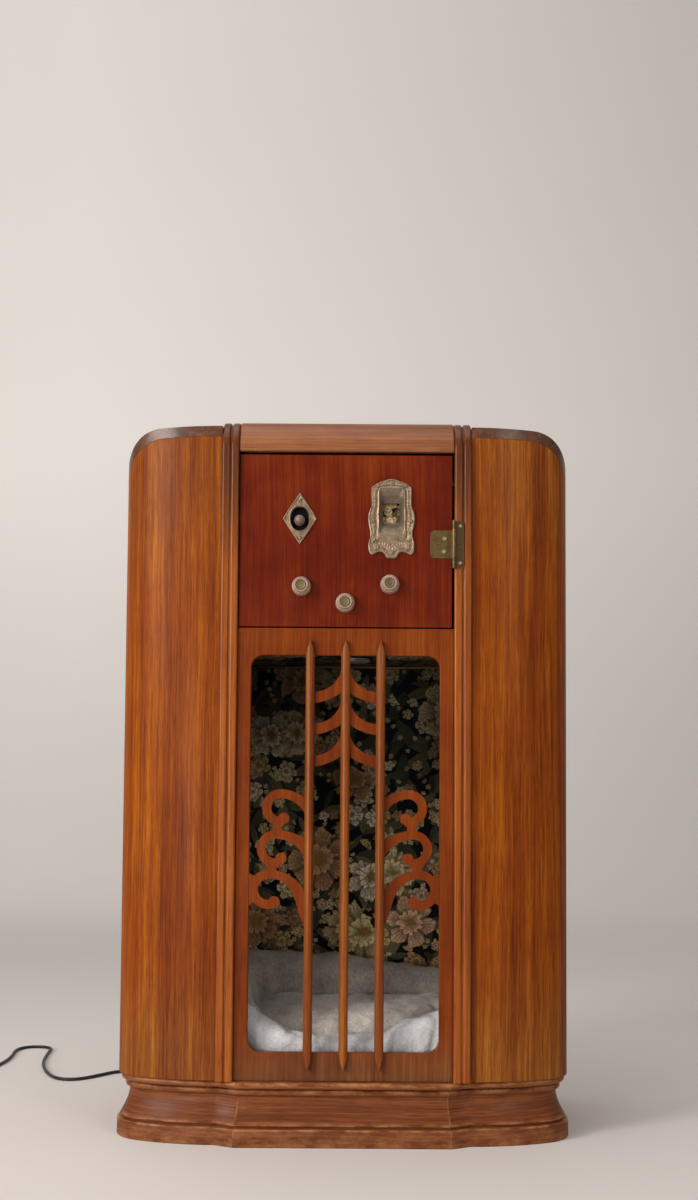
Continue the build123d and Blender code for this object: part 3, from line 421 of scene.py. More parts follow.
def make_plush(name, root, tip):
    """Short dense pile with brushed patches."""
    paint = Paint(name)
    spot = paint.place()
    tuft = paint.noise(spot, 300.0, 5.0, 0.75)
    patch = paint.span(paint.noise(spot, 38.0, 5.0, 0.7), 0.34, 0.66)
    grain = paint.span(tuft, 0.32, 0.66)
    amount = paint.math("MULTIPLY_ADD", grain, 0.6, paint.math("MULTIPLY", patch, 0.4))
    paint.set("Base Color", paint.mix(amount, root, tip))
    paint.set("Roughness", 0.95)
    paint.set("Specular IOR Level", 0.1)
    paint.set("Sheen Weight", 0.5)
    paint.set("Sheen Roughness", 0.5)
    paint.bump(tuft, 0.004, 0.7)
    return paint.mat


MATS = {
    "side_wood": wood("side_wood_m", "z", [(0.100, 0.013, 0.001), (0.225, 0.046, 0.002), (0.385, 0.108, 0.004)],
                      bands=1.1, pores=0.35, rough=0.46, coat=0.03, sheen=0.08,
                      # Painted light: the side panels are washed paler and duller towards the top and the bottom.
                      height_tints=((0.78, 1.0, (1.06, 1.32, 3.0)), (0.30, 0.11, (0.98, 1.38, 5.0)))),
    "dark_wood": wood("dark_wood_m", "y", [(0.050, 0.018, 0.009), (0.105, 0.040, 0.020), (0.190, 0.082, 0.044)],
                      pores=0.3, rough=0.26, coat=0.3),
    "trim_wood": wood("trim_wood_m", "z", [(0.120, 0.021, 0.001), (0.235, 0.058, 0.003), (0.360, 0.118, 0.010)],
                      bands=0.7, pores=0.3, rough=0.3, coat=0.18, sheen=0.15),
    "pilaster_wood": wood("pilaster_wood_m", "z", [(0.160, 0.029, 0.002), (0.300, 0.072, 0.005), (0.430, 0.130, 0.014)],
                          # The pilasters darken towards their tops.
                          bands=0.6, pores=0.3, rough=0.28, coat=0.25, height_tints=((0.80, 0.99, (0.36, 0.36, 0.8)),)),
    "cap_wood": wood("cap_wood_m", "x", [(0.110, 0.031, 0.011), (0.215, 0.071, 0.026), (0.335, 0.135, 0.058)],
                     pores=0.22, rough=0.34, coat=0.2, mottle=0.4),
    "base_wood": wood("base_wood_m", "x", [(0.070, 0.017, 0.005), (0.170, 0.048, 0.014), (0.300, 0.098, 0.034)],
                      pores=0.4, rough=0.42, coat=0.06, wear_and_highlight_colour=(0.42, 0.18, 0.072), sheen=0.12, source="UV"),
    "inner_wood": wood("inner_wood_m", "x", [(0.23, 0.12, 0.05), (0.36, 0.21, 0.10), (0.47, 0.31, 0.17)],
                       pores=0.25, rough=0.6, coat=0.0),
    "door_wood": wood("door_wood_m", "z", [(0.060, 0.0045, 0.001), (0.125, 0.011, 0.0015), (0.215, 0.034, 0.003)],
                      bands=0.6, pores=0.25, rough=0.3, coat=0.10, sheen=0.08, lines=0.55, mottle=0.55),
    "panel_wood": wood("panel_wood_m", "z", [(0.088, 0.011, 0.001), (0.178, 0.031, 0.002), (0.275, 0.066, 0.005)],
                       pores=0.25, rough=0.32, coat=0.10, sheen=0.09, lines=0.7, mottle=0.45,
                       # Painted light: the grille panel turns a duller brown towards its bottom.
                       height_tints=((0.20, 0.11, (0.82, 1.5, 7.0)),)),
    "floral_cloth": make_floral("floral"),
    "dial_floral": make_floral("dial_floral", 0.32),
    "aged_brass": metal("aged_brass_m", (0.40, 0.25, 0.12), (0.055, 0.030, 0.012), (0.17, 0.095, 0.038)),
    "rubbed_brass": metal("rubbed_brass_m", (0.62, 0.47, 0.33), (0.085, 0.055, 0.034), (0.29, 0.20, 0.125), 0.38, 0.7),
    # Painted shade: a darker copy of the dial brass for the recessed throat of the mouth.
    "dial_throat": metal("dial_throat_m", (0.42, 0.33, 0.24), (0.08, 0.058, 0.040), (0.17, 0.125, 0.085), 0.42, 0.6),
    "hinge_brass": metal("hinge_brass_m", (0.40, 0.28, 0.11), (0.030, 0.018, 0.007), (0.125, 0.078, 0.026), 0.34, 0.8),
    # Painted shade: a darker copy of the hinge brass for the frame leaf on the pilaster's inner side.
    "dark_brass": metal("dark_brass_m", (0.30, 0.19, 0.09), (0.018, 0.011, 0.006), (0.060, 0.036, 0.018), 0.32, 0.8),
    "screw_brass": metal("screw_brass_m", (0.80, 0.66, 0.36), (0.20, 0.13, 0.05), (0.52, 0.38, 0.17), 0.3, 0.8),
    "knob_face": metal("knob_face_m", (0.30, 0.235, 0.115), (0.07, 0.05, 0.02), (0.17, 0.13, 0.055), 0.45, 0.25),
    "lever_metal": metal("lever_metal_m", (0.42, 0.30, 0.25), (0.06, 0.036, 0.028), (0.22, 0.135, 0.11), 0.4, 0.5),
    "steel": plain("steel_m", (0.30, 0.30, 0.31), (0.5, 0.5, 0.51), 60.0, 0.35, metallic=0.9),
    "black_plastic": plain("black_plastic_m", (0.006, 0.005, 0.005), (0.014, 0.012, 0.011), 80.0, 0.5, spec=0.15),
    "brown_plastic": plain("knob_m", (0.25, 0.160, 0.112), (0.43, 0.305, 0.225), 160.0, 0.34, spec=0.45),
    "lens": plain("lens_m", (0.17, 0.175, 0.18), (0.25, 0.255, 0.26), 40.0, 0.35),
    "plush": make_plush("plush_m", (0.17, 0.148, 0.128), (0.60, 0.54, 0.48)),
    "cushion_plush": make_plush("cushion_plush_m", (0.33, 0.295, 0.26), (0.90, 0.83, 0.76)),
    # Painted light: a paler, bluer copy of the bolster plush for the bolster's front, facing the light.
    "pale_plush": make_plush("pale_plush_m", (0.46, 0.455, 0.46), (0.82, 0.83, 0.86)),
    "black_rubber": plain("black_rubber_m", (0.008, 0.008, 0.008), (0.022, 0.021, 0.021), 120.0, 0.5),
}
FRONT_WOOD = {"top_cap": "cap_wood", "grille_panel": "panel_wood",
              "door_screws": "screw_brass", "hinge_frame_screws": "screw_brass"}


def dress_nodes():
    """The record's slot names are the imported materials' names."""
    for name, node in NODES.items():
        for place in node.material_slots:
            label = place.material.name.split(".")[0] if place.material else ""
            key = FRONT_WOOD.get(name) or next((k for k in MATS if label.startswith(k)), None)
            if key:
                place.material = MATS[key]
            else:
                print("no material for", name, label)


# ---- mesh helpers ----------------------------------------------------------------------
def P(x, y, z):
    """Row-frame point from millimetres with y measured from the grille panel's face."""
    return Vector((x * MM, y * MM + FACE_Y, z * MM))


def finish_piece(obj, body, slot_name, *nodes, mats=None, smooth=True, angle=35):
    for key in mats or [slot_name]:
        obj.data.materials.append(MATS[key])
    if smooth and obj.type == "MESH":
        for face in obj.data.polygons:
            face.use_smooth = True
        obj.data.set_sharp_from_angle(angle=math.radians(angle))
    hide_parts(*nodes)
    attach(obj, body)
    return obj


def new_mesh(name, bm):
    bmesh.ops.recalc_face_normals(bm, faces=bm.faces)
    mesh = bpy.data.meshes.new(name)
    bm.to_mesh(mesh)
    bm.free()
    obj = bpy.data.objects.new(name, mesh)
    bpy.context.collection.objects.link(obj)
    return obj


def loft(bm, rings, closed=True, caps=(True, True), material=0):
    """Bridges rings of points that all have the same count."""
    rows = [[bm.verts.new(p) for p in ring] for ring in rings]
    count = len(rows[0])
    last = count if closed else count - 1
    for a, b in zip(rows, rows[1:]):
        for i in range(last):
            j = (i + 1) % count
            bm.faces.new((a[i], a[j], b[j], b[i])).material_index = material
    if caps[0]:
        bm.faces.new(rows[0][::-1]).material_index = material
    if caps[1]:
        bm.faces.new(rows[-1]).material_index = material
    return rows


def soften(node, body, slot_name, width, segments=2, angle=40, mat=None):
    """Copy of a CAD node with its sharp edges rounded over."""
    bm = bmesh.new()
    bm.from_mesh(NODES[node].data)
    bmesh.ops.remove_doubles(bm, verts=bm.verts, dist=1e-6)
    bmesh.ops.dissolve_limit(bm, angle_limit=math.radians(0.5), verts=bm.verts, edges=bm.edges)
    obj = new_mesh(node + "_soft", bm)
    for face in obj.data.polygons:
        face.material_index = 0
    bevel = obj.modifiers.new("round", "BEVEL")
    bevel.width = width * MM
    bevel.segments = segments
    bevel.limit_method = "ANGLE"
    bevel.angle_limit = math.radians(angle)
    bevel.harden_normals = False
    bevel.use_clamp_overlap = True
    finish_piece(obj, body, slot_name, node, mats=[mat or slot_name], angle=angle)
    even = obj.modifiers.new("even", "WEIGHTED_NORMAL")
    even.mode = "FACE_AREA"
    even.weight = 90
    even.keep_sharp = True
    return obj


def soften_all():
    trim = {
        "pilaster_left": 1.0, "pilaster_right": 1.0, "grille_bar_left": 0.6,
        "grille_bar_center": 0.6, "grille_bar_right": 0.6, 
    }
    for node, width in trim.items():
        soften(node, "cabinet", "trim_wood", width, mat="pilaster_wood" if "pilaster" in node else None)
    soften("fretwork", "cabinet", "trim_wood", 0.5, mat="panel_wood")
    soften("grille_panel", "cabinet", "trim_wood", 1.2, mat="panel_wood")
    soften("top_cap", "cabinet", "trim_wood", 2.0, mat="cap_wood")
    for node in ("top_side_left", "top_side_right"):
        soften(node, "cabinet", "dark_wood", 4.5, 4)
    for node in ("side_panel_left", "side_panel_right"):
        soften(node, "cabinet", "side_wood", 0.8)
    soften("front_door", "front_door", "door_wood", 0.8)
    soften("toggle_lever", "toggle", "aged_brass", 0.5, mat="lever_metal")
    soften("hinge_door_leaf", "front_door", "aged_brass", 0.35, mat="hinge_brass")
    # The frame leaf takes the darker brass copy: painted shade.
    soften("hinge_frame_leaf", "cabinet", "aged_brass", 0.35, mat="dark_brass")
    for side in ("volume", "tuning", "tone"):
        make_knob(side)


# ---- mains cord ------------------------------------------------------------------------
ROUTE = [
    (-0.256, 0.350, 0.050), (-0.256, 0.384, 0.050), (-0.264, 0.426, 0.026),
    (-0.294, 0.472, 0.003), (-0.343, 0.512, 0.003), (-0.398, 0.508, 0.003),
    (-0.430, 0.460, 0.003), (-0.456, 0.430, 0.003), (-0.490, 0.432, 0.003),
    (-0.518, 0.480, 0.003), (-0.540, 0.545, 0.003), (-0.552, 0.600, 0.003),
    (-0.558, 0.650, 0.003), (-0.562, 0.692, 0.003), (-0.564, 0.725, 0.003),
    (-0.582, 0.743, 0.003), (-0.608, 0.743, 0.003), (-0.626, 0.725, 0.003),
    (-0.628, 0.690, 0.003), (-0.620, 0.643, 0.003), (-0.619, 0.585, 0.003),
    (-0.626, 0.530, 0.003), (-0.635, 0.485, 0.003), (-0.639, 0.445, 0.003),
]
COIL_C = (-0.672, 0.425)
# degrees wound, ring radius, height: two turns below, two above, a half turn on top
COIL_STEPS = [
    (0, 33.2, 3.0), (290, 33.2, 3.0), (350, 27.4, 3.0), (650, 27.4, 3.0), (680, 27.4, 8.0),
    (710, 27.4, 8.8), (980, 27.4, 8.8), (1020, 33.2, 8.8), (1340, 33.2, 8.8),
    (1360, 33.2, 13.6), (1380, 33.0, 14.4), (1440, 31.0, 14.2), (1620, 30.0, 13.6),
]


def coil_point(turned):
    for (t0, r0, z0), (t1, r1, z1) in zip(COIL_STEPS, COIL_STEPS[1:]):
        if turned <= t1:
            share = (turned - t0) / (t1 - t0)
            radius, height = r0 + (r1 - r0) * share, z0 + (z1 - z0) * share
            break
    angle = math.radians(-turned)
    return (COIL_C[0] + radius * MM * math.cos(angle), COIL_C[1] + radius * MM * math.sin(angle), height * MM)


def make_cord():
    points = list(ROUTE)
    step = 18
    points += [coil_point(turned) for turned in range(step, 1620 + 1, step)]
    points.append((-0.702, 0.434, 0.0130))
    points.append((-0.702, 0.446, 0.0124))
    curve = bpy.data.curves.new("cord", "CURVE")
    curve.dimensions = "3D"
    spline = curve.splines.new("NURBS")
    spline.points.add(len(points) - 1)
    for place, (x, y, z) in zip(spline.points, points):
        place.co = (x, y + FACE_Y, z, 1)
    spline.order_u = 3
    spline.use_endpoint_u = True
    spline.resolution_u = 4
    curve.bevel_depth = 2.75 * MM
    curve.bevel_resolution = 4
    curve.use_fill_caps = True
    cord = bpy.data.objects.new("cord", curve)
    bpy.context.collection.objects.link(cord)
    finish_piece(cord, "cabinet", "black_rubber", "mains_cord", "cord_coil")

    plug = make_plug()
    make_gland()
    length = sum((Vector(b) - Vector(a)).length for a, b in zip(points, points[1:]))
    print("cord polygon length", round(length, 3))


def disc_ring(centre, radius, y, count=28, squash=(1.0, 1.0), power=2.0):
    """Ring of points round an axis along y; a higher power makes it squarer."""
    ring = []
    for i in range(count):
        turn = 2 * math.pi * i / count
        c, s = math.cos(turn), math.sin(turn)
        x = math.copysign(abs(c) ** (2 / power), c) * radius * squash[0]
        z = math.copysign(abs(s) ** (2 / power), s) * radius * squash[1]
        ring.append(P(centre[0] + x, y, centre[1] + z))
    return ring


def make_plug():
    """Moulded two-pin plug with a ribbed boot."""
    bm = bmesh.new()
    centre = (-702, 12.3)
    rings = []
    for i in range(9):
        radius = 3.4 + 0.30 * i + (0.7 if i % 2 else 0.0)
        rings.append(disc_ring(centre, radius, 440 + 2.0 * i))
    rings.append(disc_ring(centre, 8.5, 457.5, power=3.0))
    for y, radius in ((459, 10.8), (463, 11.6), (468, 10.4), (476, 10.4), (481, 11.6), (490, 11.8), (493, 10.6)):
        rings.append(disc_ring(centre, radius, y, power=4.0))
    loft(bm, rings)
    for sign in (-1, 1):
        x = centre[0] + 6 * sign
        blade = [[P(x + a, y, centre[1] + b) for a, b in ((-0.75, -3), (0.75, -3), (0.75, 3), (-0.75, 3))]
                 for y in (492, 508, 509.6)]
        blade[2] = [p.lerp(sum(blade[2], Vector()) / 4, 0.3) for p in blade[2]]
        loft(bm, blade, material=1)
    return finish_piece(new_mesh("plug_moulded", bm), "cabinet", "black_rubber", "plug",
                        mats=["black_rubber", "steel"])


def make_gland():
    bm = bmesh.new()
    rings = [disc_ring((-256, 50), r, y) for y, r in ((304, 3.8), (320.2, 3.8), (320.4, 8.6), (321.2, 9.0), (323.2, 9.0), (324, 8.4))]
    for i in range(11):
        radius = 6.2 - 0.22 * i - (0.7 if i % 2 else 0.0)
        rings.append(disc_ring((-256, 50), max(radius, 3.2), 324.5 + 2.4 * i))
    loft(bm, rings)
    finish_piece(new_mesh("gland_ribbed", bm), "cabinet", "black_rubber", "cord_gland")


# ---- plinth ----------------------------------------------------------------------------
BOW_C = (178.5, 257.06)
BOW_R = 257.06
CORNER_C = (265.0, 80.0)
CORNER_R = 60.0
JOIN = math.atan2(CORNER_C[1] - BOW_C[1], CORNER_C[0] - BOW_C[0])
HALF = 325.0
REAR = 322.0
BLOCK_HALF = 151.3
BLOCK_FORWARD = 15.0
MITRE = math.tan(0.5 * math.atan2(BLOCK_FORWARD, 178.5 - BLOCK_HALF))


FRONT_SHARES = (0.0, 0.25, 0.5, 0.75, 0.93, 0.985, 1.0)     # columns crowd towards the mitre


def half_line(out):
    """Right half of the base's plan line moved outwards, from the middle to the rear."""
    corner = (BLOCK_HALF + out * MITRE, -BLOCK_FORWARD - out)
    start = -math.pi / 2 + 2 * math.atan2(out * MITRE, 2 * (BOW_R + out))
    points = [(corner[0] * share, corner[1]) for share in FRONT_SHARES]
    for i in range(17):
        turn = start + (JOIN - start) * i / 16
        points.append((BOW_C[0] + (BOW_R + out) * math.cos(turn), BOW_C[1] + (BOW_R + out) * math.sin(turn)))
    for i in range(1, 15):
        turn = JOIN * (1 - i / 14)
        points.append((CORNER_C[0] + (CORNER_R + out) * math.cos(turn),
                       CORNER_C[1] + (CORNER_R + out) * math.sin(turn)))
    points += [(HALF + out, 80 + (REAR - 80) * i / 6) for i in range(1, 7)]
    return points


def unroll(bm, rows, profile):
    """UVs in metres: along the run, and up the profile."""
    uv = bm.loops.layers.uv.new("metres")
    place = {}
    for i in range(len(profile)):
        run = 0.0
        rise = sum(math.dist(a, b) for a, b in zip(profile[:i], profile[1:i + 1])) * MM
        for k, row in enumerate(rows):
            run += (row[i].co - rows[k - 1][i].co).length if k else 0.0
            place[row[i]] = (run, rise)
    for face in bm.faces:
        for loop in face.loops:
            loop[uv].uv = place[loop.vert]


def sweep(name, profile, first, last, flip, nodes, wear):
    """Sweeps a closed profile of (outwards, height) along part of the plan line."""
    bm = bmesh.new()
    mark = bm.verts.layers.float.new("wear")
    lines = [half_line(out)[first:last] for out, _ in profile]
    sections = []
    for k in range(len(lines[0])):
        sections.append([P(flip * lines[i][k][0], lines[i][k][1], profile[i][1]) for i in range(len(profile))])
    rows = loft(bm, sections)
    unroll(bm, rows, profile)
    for row in rows:
        for vert, amount in zip(row, wear):
            vert[mark] = amount
    obj = new_mesh(name, bm)
    return finish_piece(obj, "cabinet", "base_wood", *nodes, angle=32)


def sweep_front(name, profile, nodes, wear):
    """Front piece of the plinth, from mitre to mitre."""
    bm = bmesh.new()
    mark = bm.verts.layers.float.new("wear")
    lines = [half_line(out)[:7] for out, _ in profile]
    sections = []
    for k in range(6, -7, -1):
        side = 1 if k >= 0 else -1
        sections.append([P(side * lines[i][abs(k)][0], lines[i][abs(k)][1], profile[i][1]) for i in range(len(profile))])
    rows = loft(bm, sections)
    unroll(bm, rows, profile)
    for row in rows:
        # Painted highlight: a pale line down each mitre ridge.
        mitre_highlight = 0.9 if row in (rows[0], rows[-1]) else 0.0
        for vert, amount in zip(row, wear):
            vert[mark] = max(amount, mitre_highlight)
    return finish_piece(new_mesh(name, bm), "cabinet", "base_wood", *nodes, angle=32)


def make_plinth():
    slab = [(-32, 0.0), (1.0, 0.0), (2.0, 1.2), (2.0, 21.8), (1.7, 23.4), (0.6, 24.6), (-1.0, 25.0), (-32, 25.0)]
    # Slab marks: edge wear together with a painted highlight, strongest on the rounded top front edge.
    slab_wear_and_highlight = [0, 0.2, 0.5, 0.25, 1.0, 1.0, 0.5, 0]
    cove = [(-32, 25.2), (-6.5, 25.2), (-6.3, 27.6), (-3.2, 28.4), (-2.6, 29.4), (-3.0, 30.4)]
    # Cove marks: edge wear together with a painted highlight on the lower lip.
    wear = [0, 0, 0, 0.7, 0.9, 0.6]
    for i in range(1, 11):
        share = i / 10
        cove.append((-3.0 - 13.0 * math.sin(share * math.pi / 2), 30.4 + 36.4 * share))
        wear.append(0.0)
    for centre, out, wide in ((72.4, -10.0, 4.6), (82.9, -4.0, 4.9)):
        for i in range(9):
            turn = -math.pi / 2 + math.pi * i / 8
            cove.append((out - 4.6 + 4.6 * math.cos(turn), centre + wide * math.sin(turn)))
            # Bead marks: a little wear all round, and a painted highlight on each bead's upper front, where the light
            # falls.
            wear.append(0.15 + 0.85 * max(0.0, math.sin(turn + 0.9)) ** 3)
    cove.append((-32, 87.9))
    wear.append(0)
    for label, profile, amounts in (("slab", slab, slab_wear_and_highlight), ("moulding", cove, wear)):
        node = "base_" + label
        sweep_front(node + "_front_run", profile, [node + "_front"], amounts)
        for side, flip in (("left", -1), ("right", 1)):
            sweep(f"{node}_{side}_run", profile, 6, 43, flip, [f"{node}_{side}"], amounts)


# ---- knobs and escutcheons -------------------------------------------------------------
KNOBS = {"volume": (-64.0, 784.5), "tuning": (-1.5, 761.0), "tone": (62.0, 788.0)}


def make_knob(name):
    """Moulded knob: fluted skirt, chamfered rim and a recessed metal face."""
    centre = KNOBS[name]
    count = 96
    flutes = 24

    def ring(radius, y, depth=0.0):
        points = []
        for i in range(count):
            turn = 2 * math.pi * i / count
            r = radius - depth * (0.5 + 0.5 * math.cos(flutes * turn))
            points.append(P(centre[0] + r * math.cos(turn), y, centre[1] + r * math.sin(turn)))
        return points

    bm = bmesh.new()
    profile = [
        (3.3, -2.4, 0), (8.4, -2.4, 0), (8.6, -0.7, 0), (13.2, -0.6, 0), (13.8, -1.2, 0.2), (13.7, -2.4, 0.9),
        (13.2, -9.4, 1.0), (12.6, -10.6, 0.5), (11.2, -11.2, 0.0), (10.9, -11.8, 0), (10.5, -15.4, 0.5),
        (9.7, -16.7, 0.2), (8.6, -17.0, 0), (7.9, -16.8, 0), (7.5, -16.2, 0), (7.4, -13.6, 0),
    ]
    loft(bm, [ring(*p) for p in profile], caps=(True, True))
    face = [(7.35, -13.5, 0), (6.8, -13.5, 0), (6.5, -15.5, 0), (5.8, -16.0, 0), (4.9, -15.6, 0), (4.4, -14.7, 0), (1.6, -14.6, 0)]
    loft(bm, [ring(*p) for p in face], caps=(False, True), material=1)
    obj = new_mesh("knob_" + name + "_turned", bm)
    finish_piece(obj, "knob_" + name, "brown_plastic", "knob_" + name,
                 mats=["brown_plastic", "knob_face"], angle=28)


def relief(bm, centre, edges, rows, count=216, material=0):
    """Rings between an outer and an inner outline. Each row is share, height and ripple."""
    outer, inner = edges
    rings = []
    for share, height, ripple, beats in rows:
        ring = []
        for i in range(count):
            turn = 2 * math.pi * i / count
            a, b = outer(turn), inner(turn)
            x, z = a[0] + (b[0] - a[0]) * share, a[1] + (b[1] - a[1]) * share
            lift = height + ripple * abs(math.sin(beats * turn / 2))
            ring.append(P(centre[0] + x, -lift, centre[1] + z))
        rings.append(ring)
    loft(bm, rings, caps=(False, False), material=material)


def polar(points, centre=(0.0, 0.0)):
    """Radius of a closed outline in a given direction, from half of it mirrored."""
    whole = points + [(-x, z) for x, z in reversed(points)]
    whole = [(math.atan2(z - centre[1], x - centre[0]), math.hypot(x - centre[0], z - centre[1]))
             for x, z in whole]
    whole.sort()
    whole = [(whole[-1][0] - 2 * math.pi, whole[-1][1])] + whole + [(whole[0][0] + 2 * math.pi, whole[0][1])]

    def at(turn):
        turn = (turn + math.pi) % (2 * math.pi) - math.pi
        for (a, ra), (b, rb) in zip(whole, whole[1:]):
            if a <= turn <= b and b > a:
                radius = ra + (rb - ra) * (turn - a) / (b - a)
                break
        return centre[0] + radius * math.cos(turn), centre[1] + radius * math.sin(turn)
    return at


def squircle(half_x, half_z, centre, power=7.0):
    def at(turn):
        c, s = math.cos(turn), math.sin(turn)
        radius = (abs(c / half_x) ** power + abs(s / half_z) ** power) ** (-1 / power)
        return centre[0] + radius * c, centre[1] + radius * s
    return at


def make_dial():
    """Cast dial surround: arched top, swelled sides, scrolled feet and a deep sloping mouth."""
    outline = [
        (0, 57.8), (5, 57.3), (9, 55.6), (12.0, 54.6), (16, 53.6), (20, 51.2), (24.0, 48.8), (28.4, 46.0),
        (28.8, 40), (28.6, 32), (28.4, 24), (28.6, 18.0), (31.4, 12.0), (33.2, 5.0), (33.2, -3.0),
        (32.0, -11.0), (30.2, -19.0), (30.4, -26), (32.6, -33.0), (33.2, -40), (32.2, -47.0), (29.8, -51.0),
        (27.0, -52.0), (22.0, -49.0), (17.0, -47.2), (12.5, -48.0), (9.5, -50.5), (7.2, -56.0), (3.5, -56.8), (0, -56.8),
    ]
    middle = (0.0, 8.0)
    outer = polar(outline, middle)
    mouth = squircle(17.6, 32.8, (0.0, 11.8), 14.0)
    bm = bmesh.new()
    rows = [
        (0.0, 0.1, 0, 2), (0.0, 2.2, 0, 2), (0.03, 3.2, 0, 2), (0.10, 3.6, 0.0, 2), (0.17, 2.3, 0, 2), (0.23, 1.9, 0, 2),
        (0.34, 1.5, 1.3, 84), (0.46, 1.5, 2.0, 84), (0.58, 1.5, 1.3, 84), (0.68, 1.3, 0, 2),
        (0.74, 2.6, 0, 2), (0.84, 3.7, 0, 2), (0.93, 3.9, 0.5, 120), (1.0, 3.5, 0, 2),
    ]
    relief(bm, DIAL, (outer, mouth), rows)
    # The throat takes the second, darker brass: painted shade in the recess.
    throat = squircle(11.8, 14.0, (0.0, 10.7), 14.0)
    relief(bm, DIAL, (mouth, throat), [(0.0, 3.5, 0, 2), (0.05, 2.8, 0, 2), (0.5, 0.3, 0, 2), (0.56, -1.2, 0, 2), (0.93, -7.6, 0, 2),
                                       (0.98, -7.2, 0, 2), (1.0, -8.9, 0, 2)], material=1)
    for sign in (-1, 1):                                   # scroll bosses on the feet
        for x, z, r in ((22.0 * sign, -40.0, 5.2), (27.0 * sign, -3.0, 3.4), (20.0 * sign, 48.5, 3.4), (12.0 * sign, -44, 2.6)):
            boss(bm, (DIAL[0] + x, DIAL[1] + z), r, 2.4, 1.9)
    boss(bm, (DIAL[0], DIAL[1] - 49.0), 4.2, 2.4, 2.2)
    boss(bm, (DIAL[0], DIAL[1] + 51.0), 4.4, 2.4, 2.2)
    bmesh.ops.remove_doubles(bm, verts=bm.verts, dist=2e-6)
    finish_piece(new_mesh("dial_surround", bm), "front_door", "aged_brass", "dial_escutcheon",
                 mats=["rubbed_brass", "dial_throat"], angle=50)


def boss(bm, centre, radius, base, rise, petals=5):
    """Small domed rosette on a plate."""
    rings = []
    for share, height in ((1.0, 0.0), (0.86, 0.55), (0.55, 0.95), (0.42, 0.7), (0.3, 1.0), (0.1, 1.15)):
        ring = []
        for i in range(30):
            turn = 2 * math.pi * i / 30
            r = radius * share * (1 - 0.12 * math.cos(petals * turn))
            ring.append(P(centre[0] + r * math.cos(turn), -(base + rise * height), centre[1] + r * math.sin(turn)))
        rings.append(ring)
    loft(bm, rings, caps=(False, True))


DIAL = (64.0, 882.0)
SWITCH = (-67.0, 882.0)


def make_diamond():
    """Diamond plate with a raised rim and a rolled collar round the lever's opening."""
    def diamond(half_x, half_z, power=1.03):
        return squircle(half_x, half_z, (0.0, 0.0), power)

    bm = bmesh.new()
    edge = diamond(24.0, 37.0)
    hole = squircle(13.5, 17.5, (0.0, 0.0), 2.3)
    rows = [(0.0, 0.05, 0, 2), (0.0, 1.6, 0, 2), (0.03, 2.6, 0, 2), (0.12, 2.7, 0.0, 2), (0.19, 1.5, 0, 2),
            (0.26, 0.9, 0, 2), (0.50, 1.0, 0.35, 72), (0.72, 1.2, 0, 2), (0.80, 2.4, 0, 2), (0.93, 2.5, 0, 2),
            (1.0, 1.6, 0, 2)]
    relief(bm, SWITCH, (edge, hole), rows)
    well = squircle(12.6, 16.6, (0.0, 0.0), 2.3)
    relief(bm, SWITCH, (hole, well), [(0.0, 1.6, 0, 2), (1.0, -0.2, 0, 2)])
    bmesh.ops.remove_doubles(bm, verts=bm.verts, dist=2e-6)
    finish_piece(new_mesh("diamond_plate", bm), "front_door", "aged_brass", "diamond_escutcheon",
                 mats=["rubbed_brass"], angle=50)


# ---- cloth linings ---------------------------------------------------------------------
def wall_line(inset, rear):
    """Inside plan line of the right-hand wall, from the bow's start to the rear, evenly spaced."""
    path = []
    for i in range(31):
        turn = -math.pi / 2 + (JOIN + math.pi / 2) * i / 30
        path.append((BOW_C[0] + (BOW_R - inset) * math.cos(turn), BOW_C[1] + (BOW_R - inset) * math.sin(turn)))
    for i in range(1, 13):
        turn = JOIN * (1 - i / 12)
        path.append((CORNER_C[0] + (CORNER_R - inset) * math.cos(turn),
                     CORNER_C[1] + (CORNER_R - inset) * math.sin(turn)))
    path += [(HALF - inset, 80 + (rear - 80) * i / 28) for i in range(1, 29)]
    return path


def ripple(a, b, seed):
    """Slight puckers and bellies of glued cloth, 0 to 1."""
    broad = noise.noise(Vector((a * 9, b * 5, seed)))
    return 0.5 + 0.35 * broad + 0.3 * noise.noise(Vector((a * 34, b * 20, seed)))


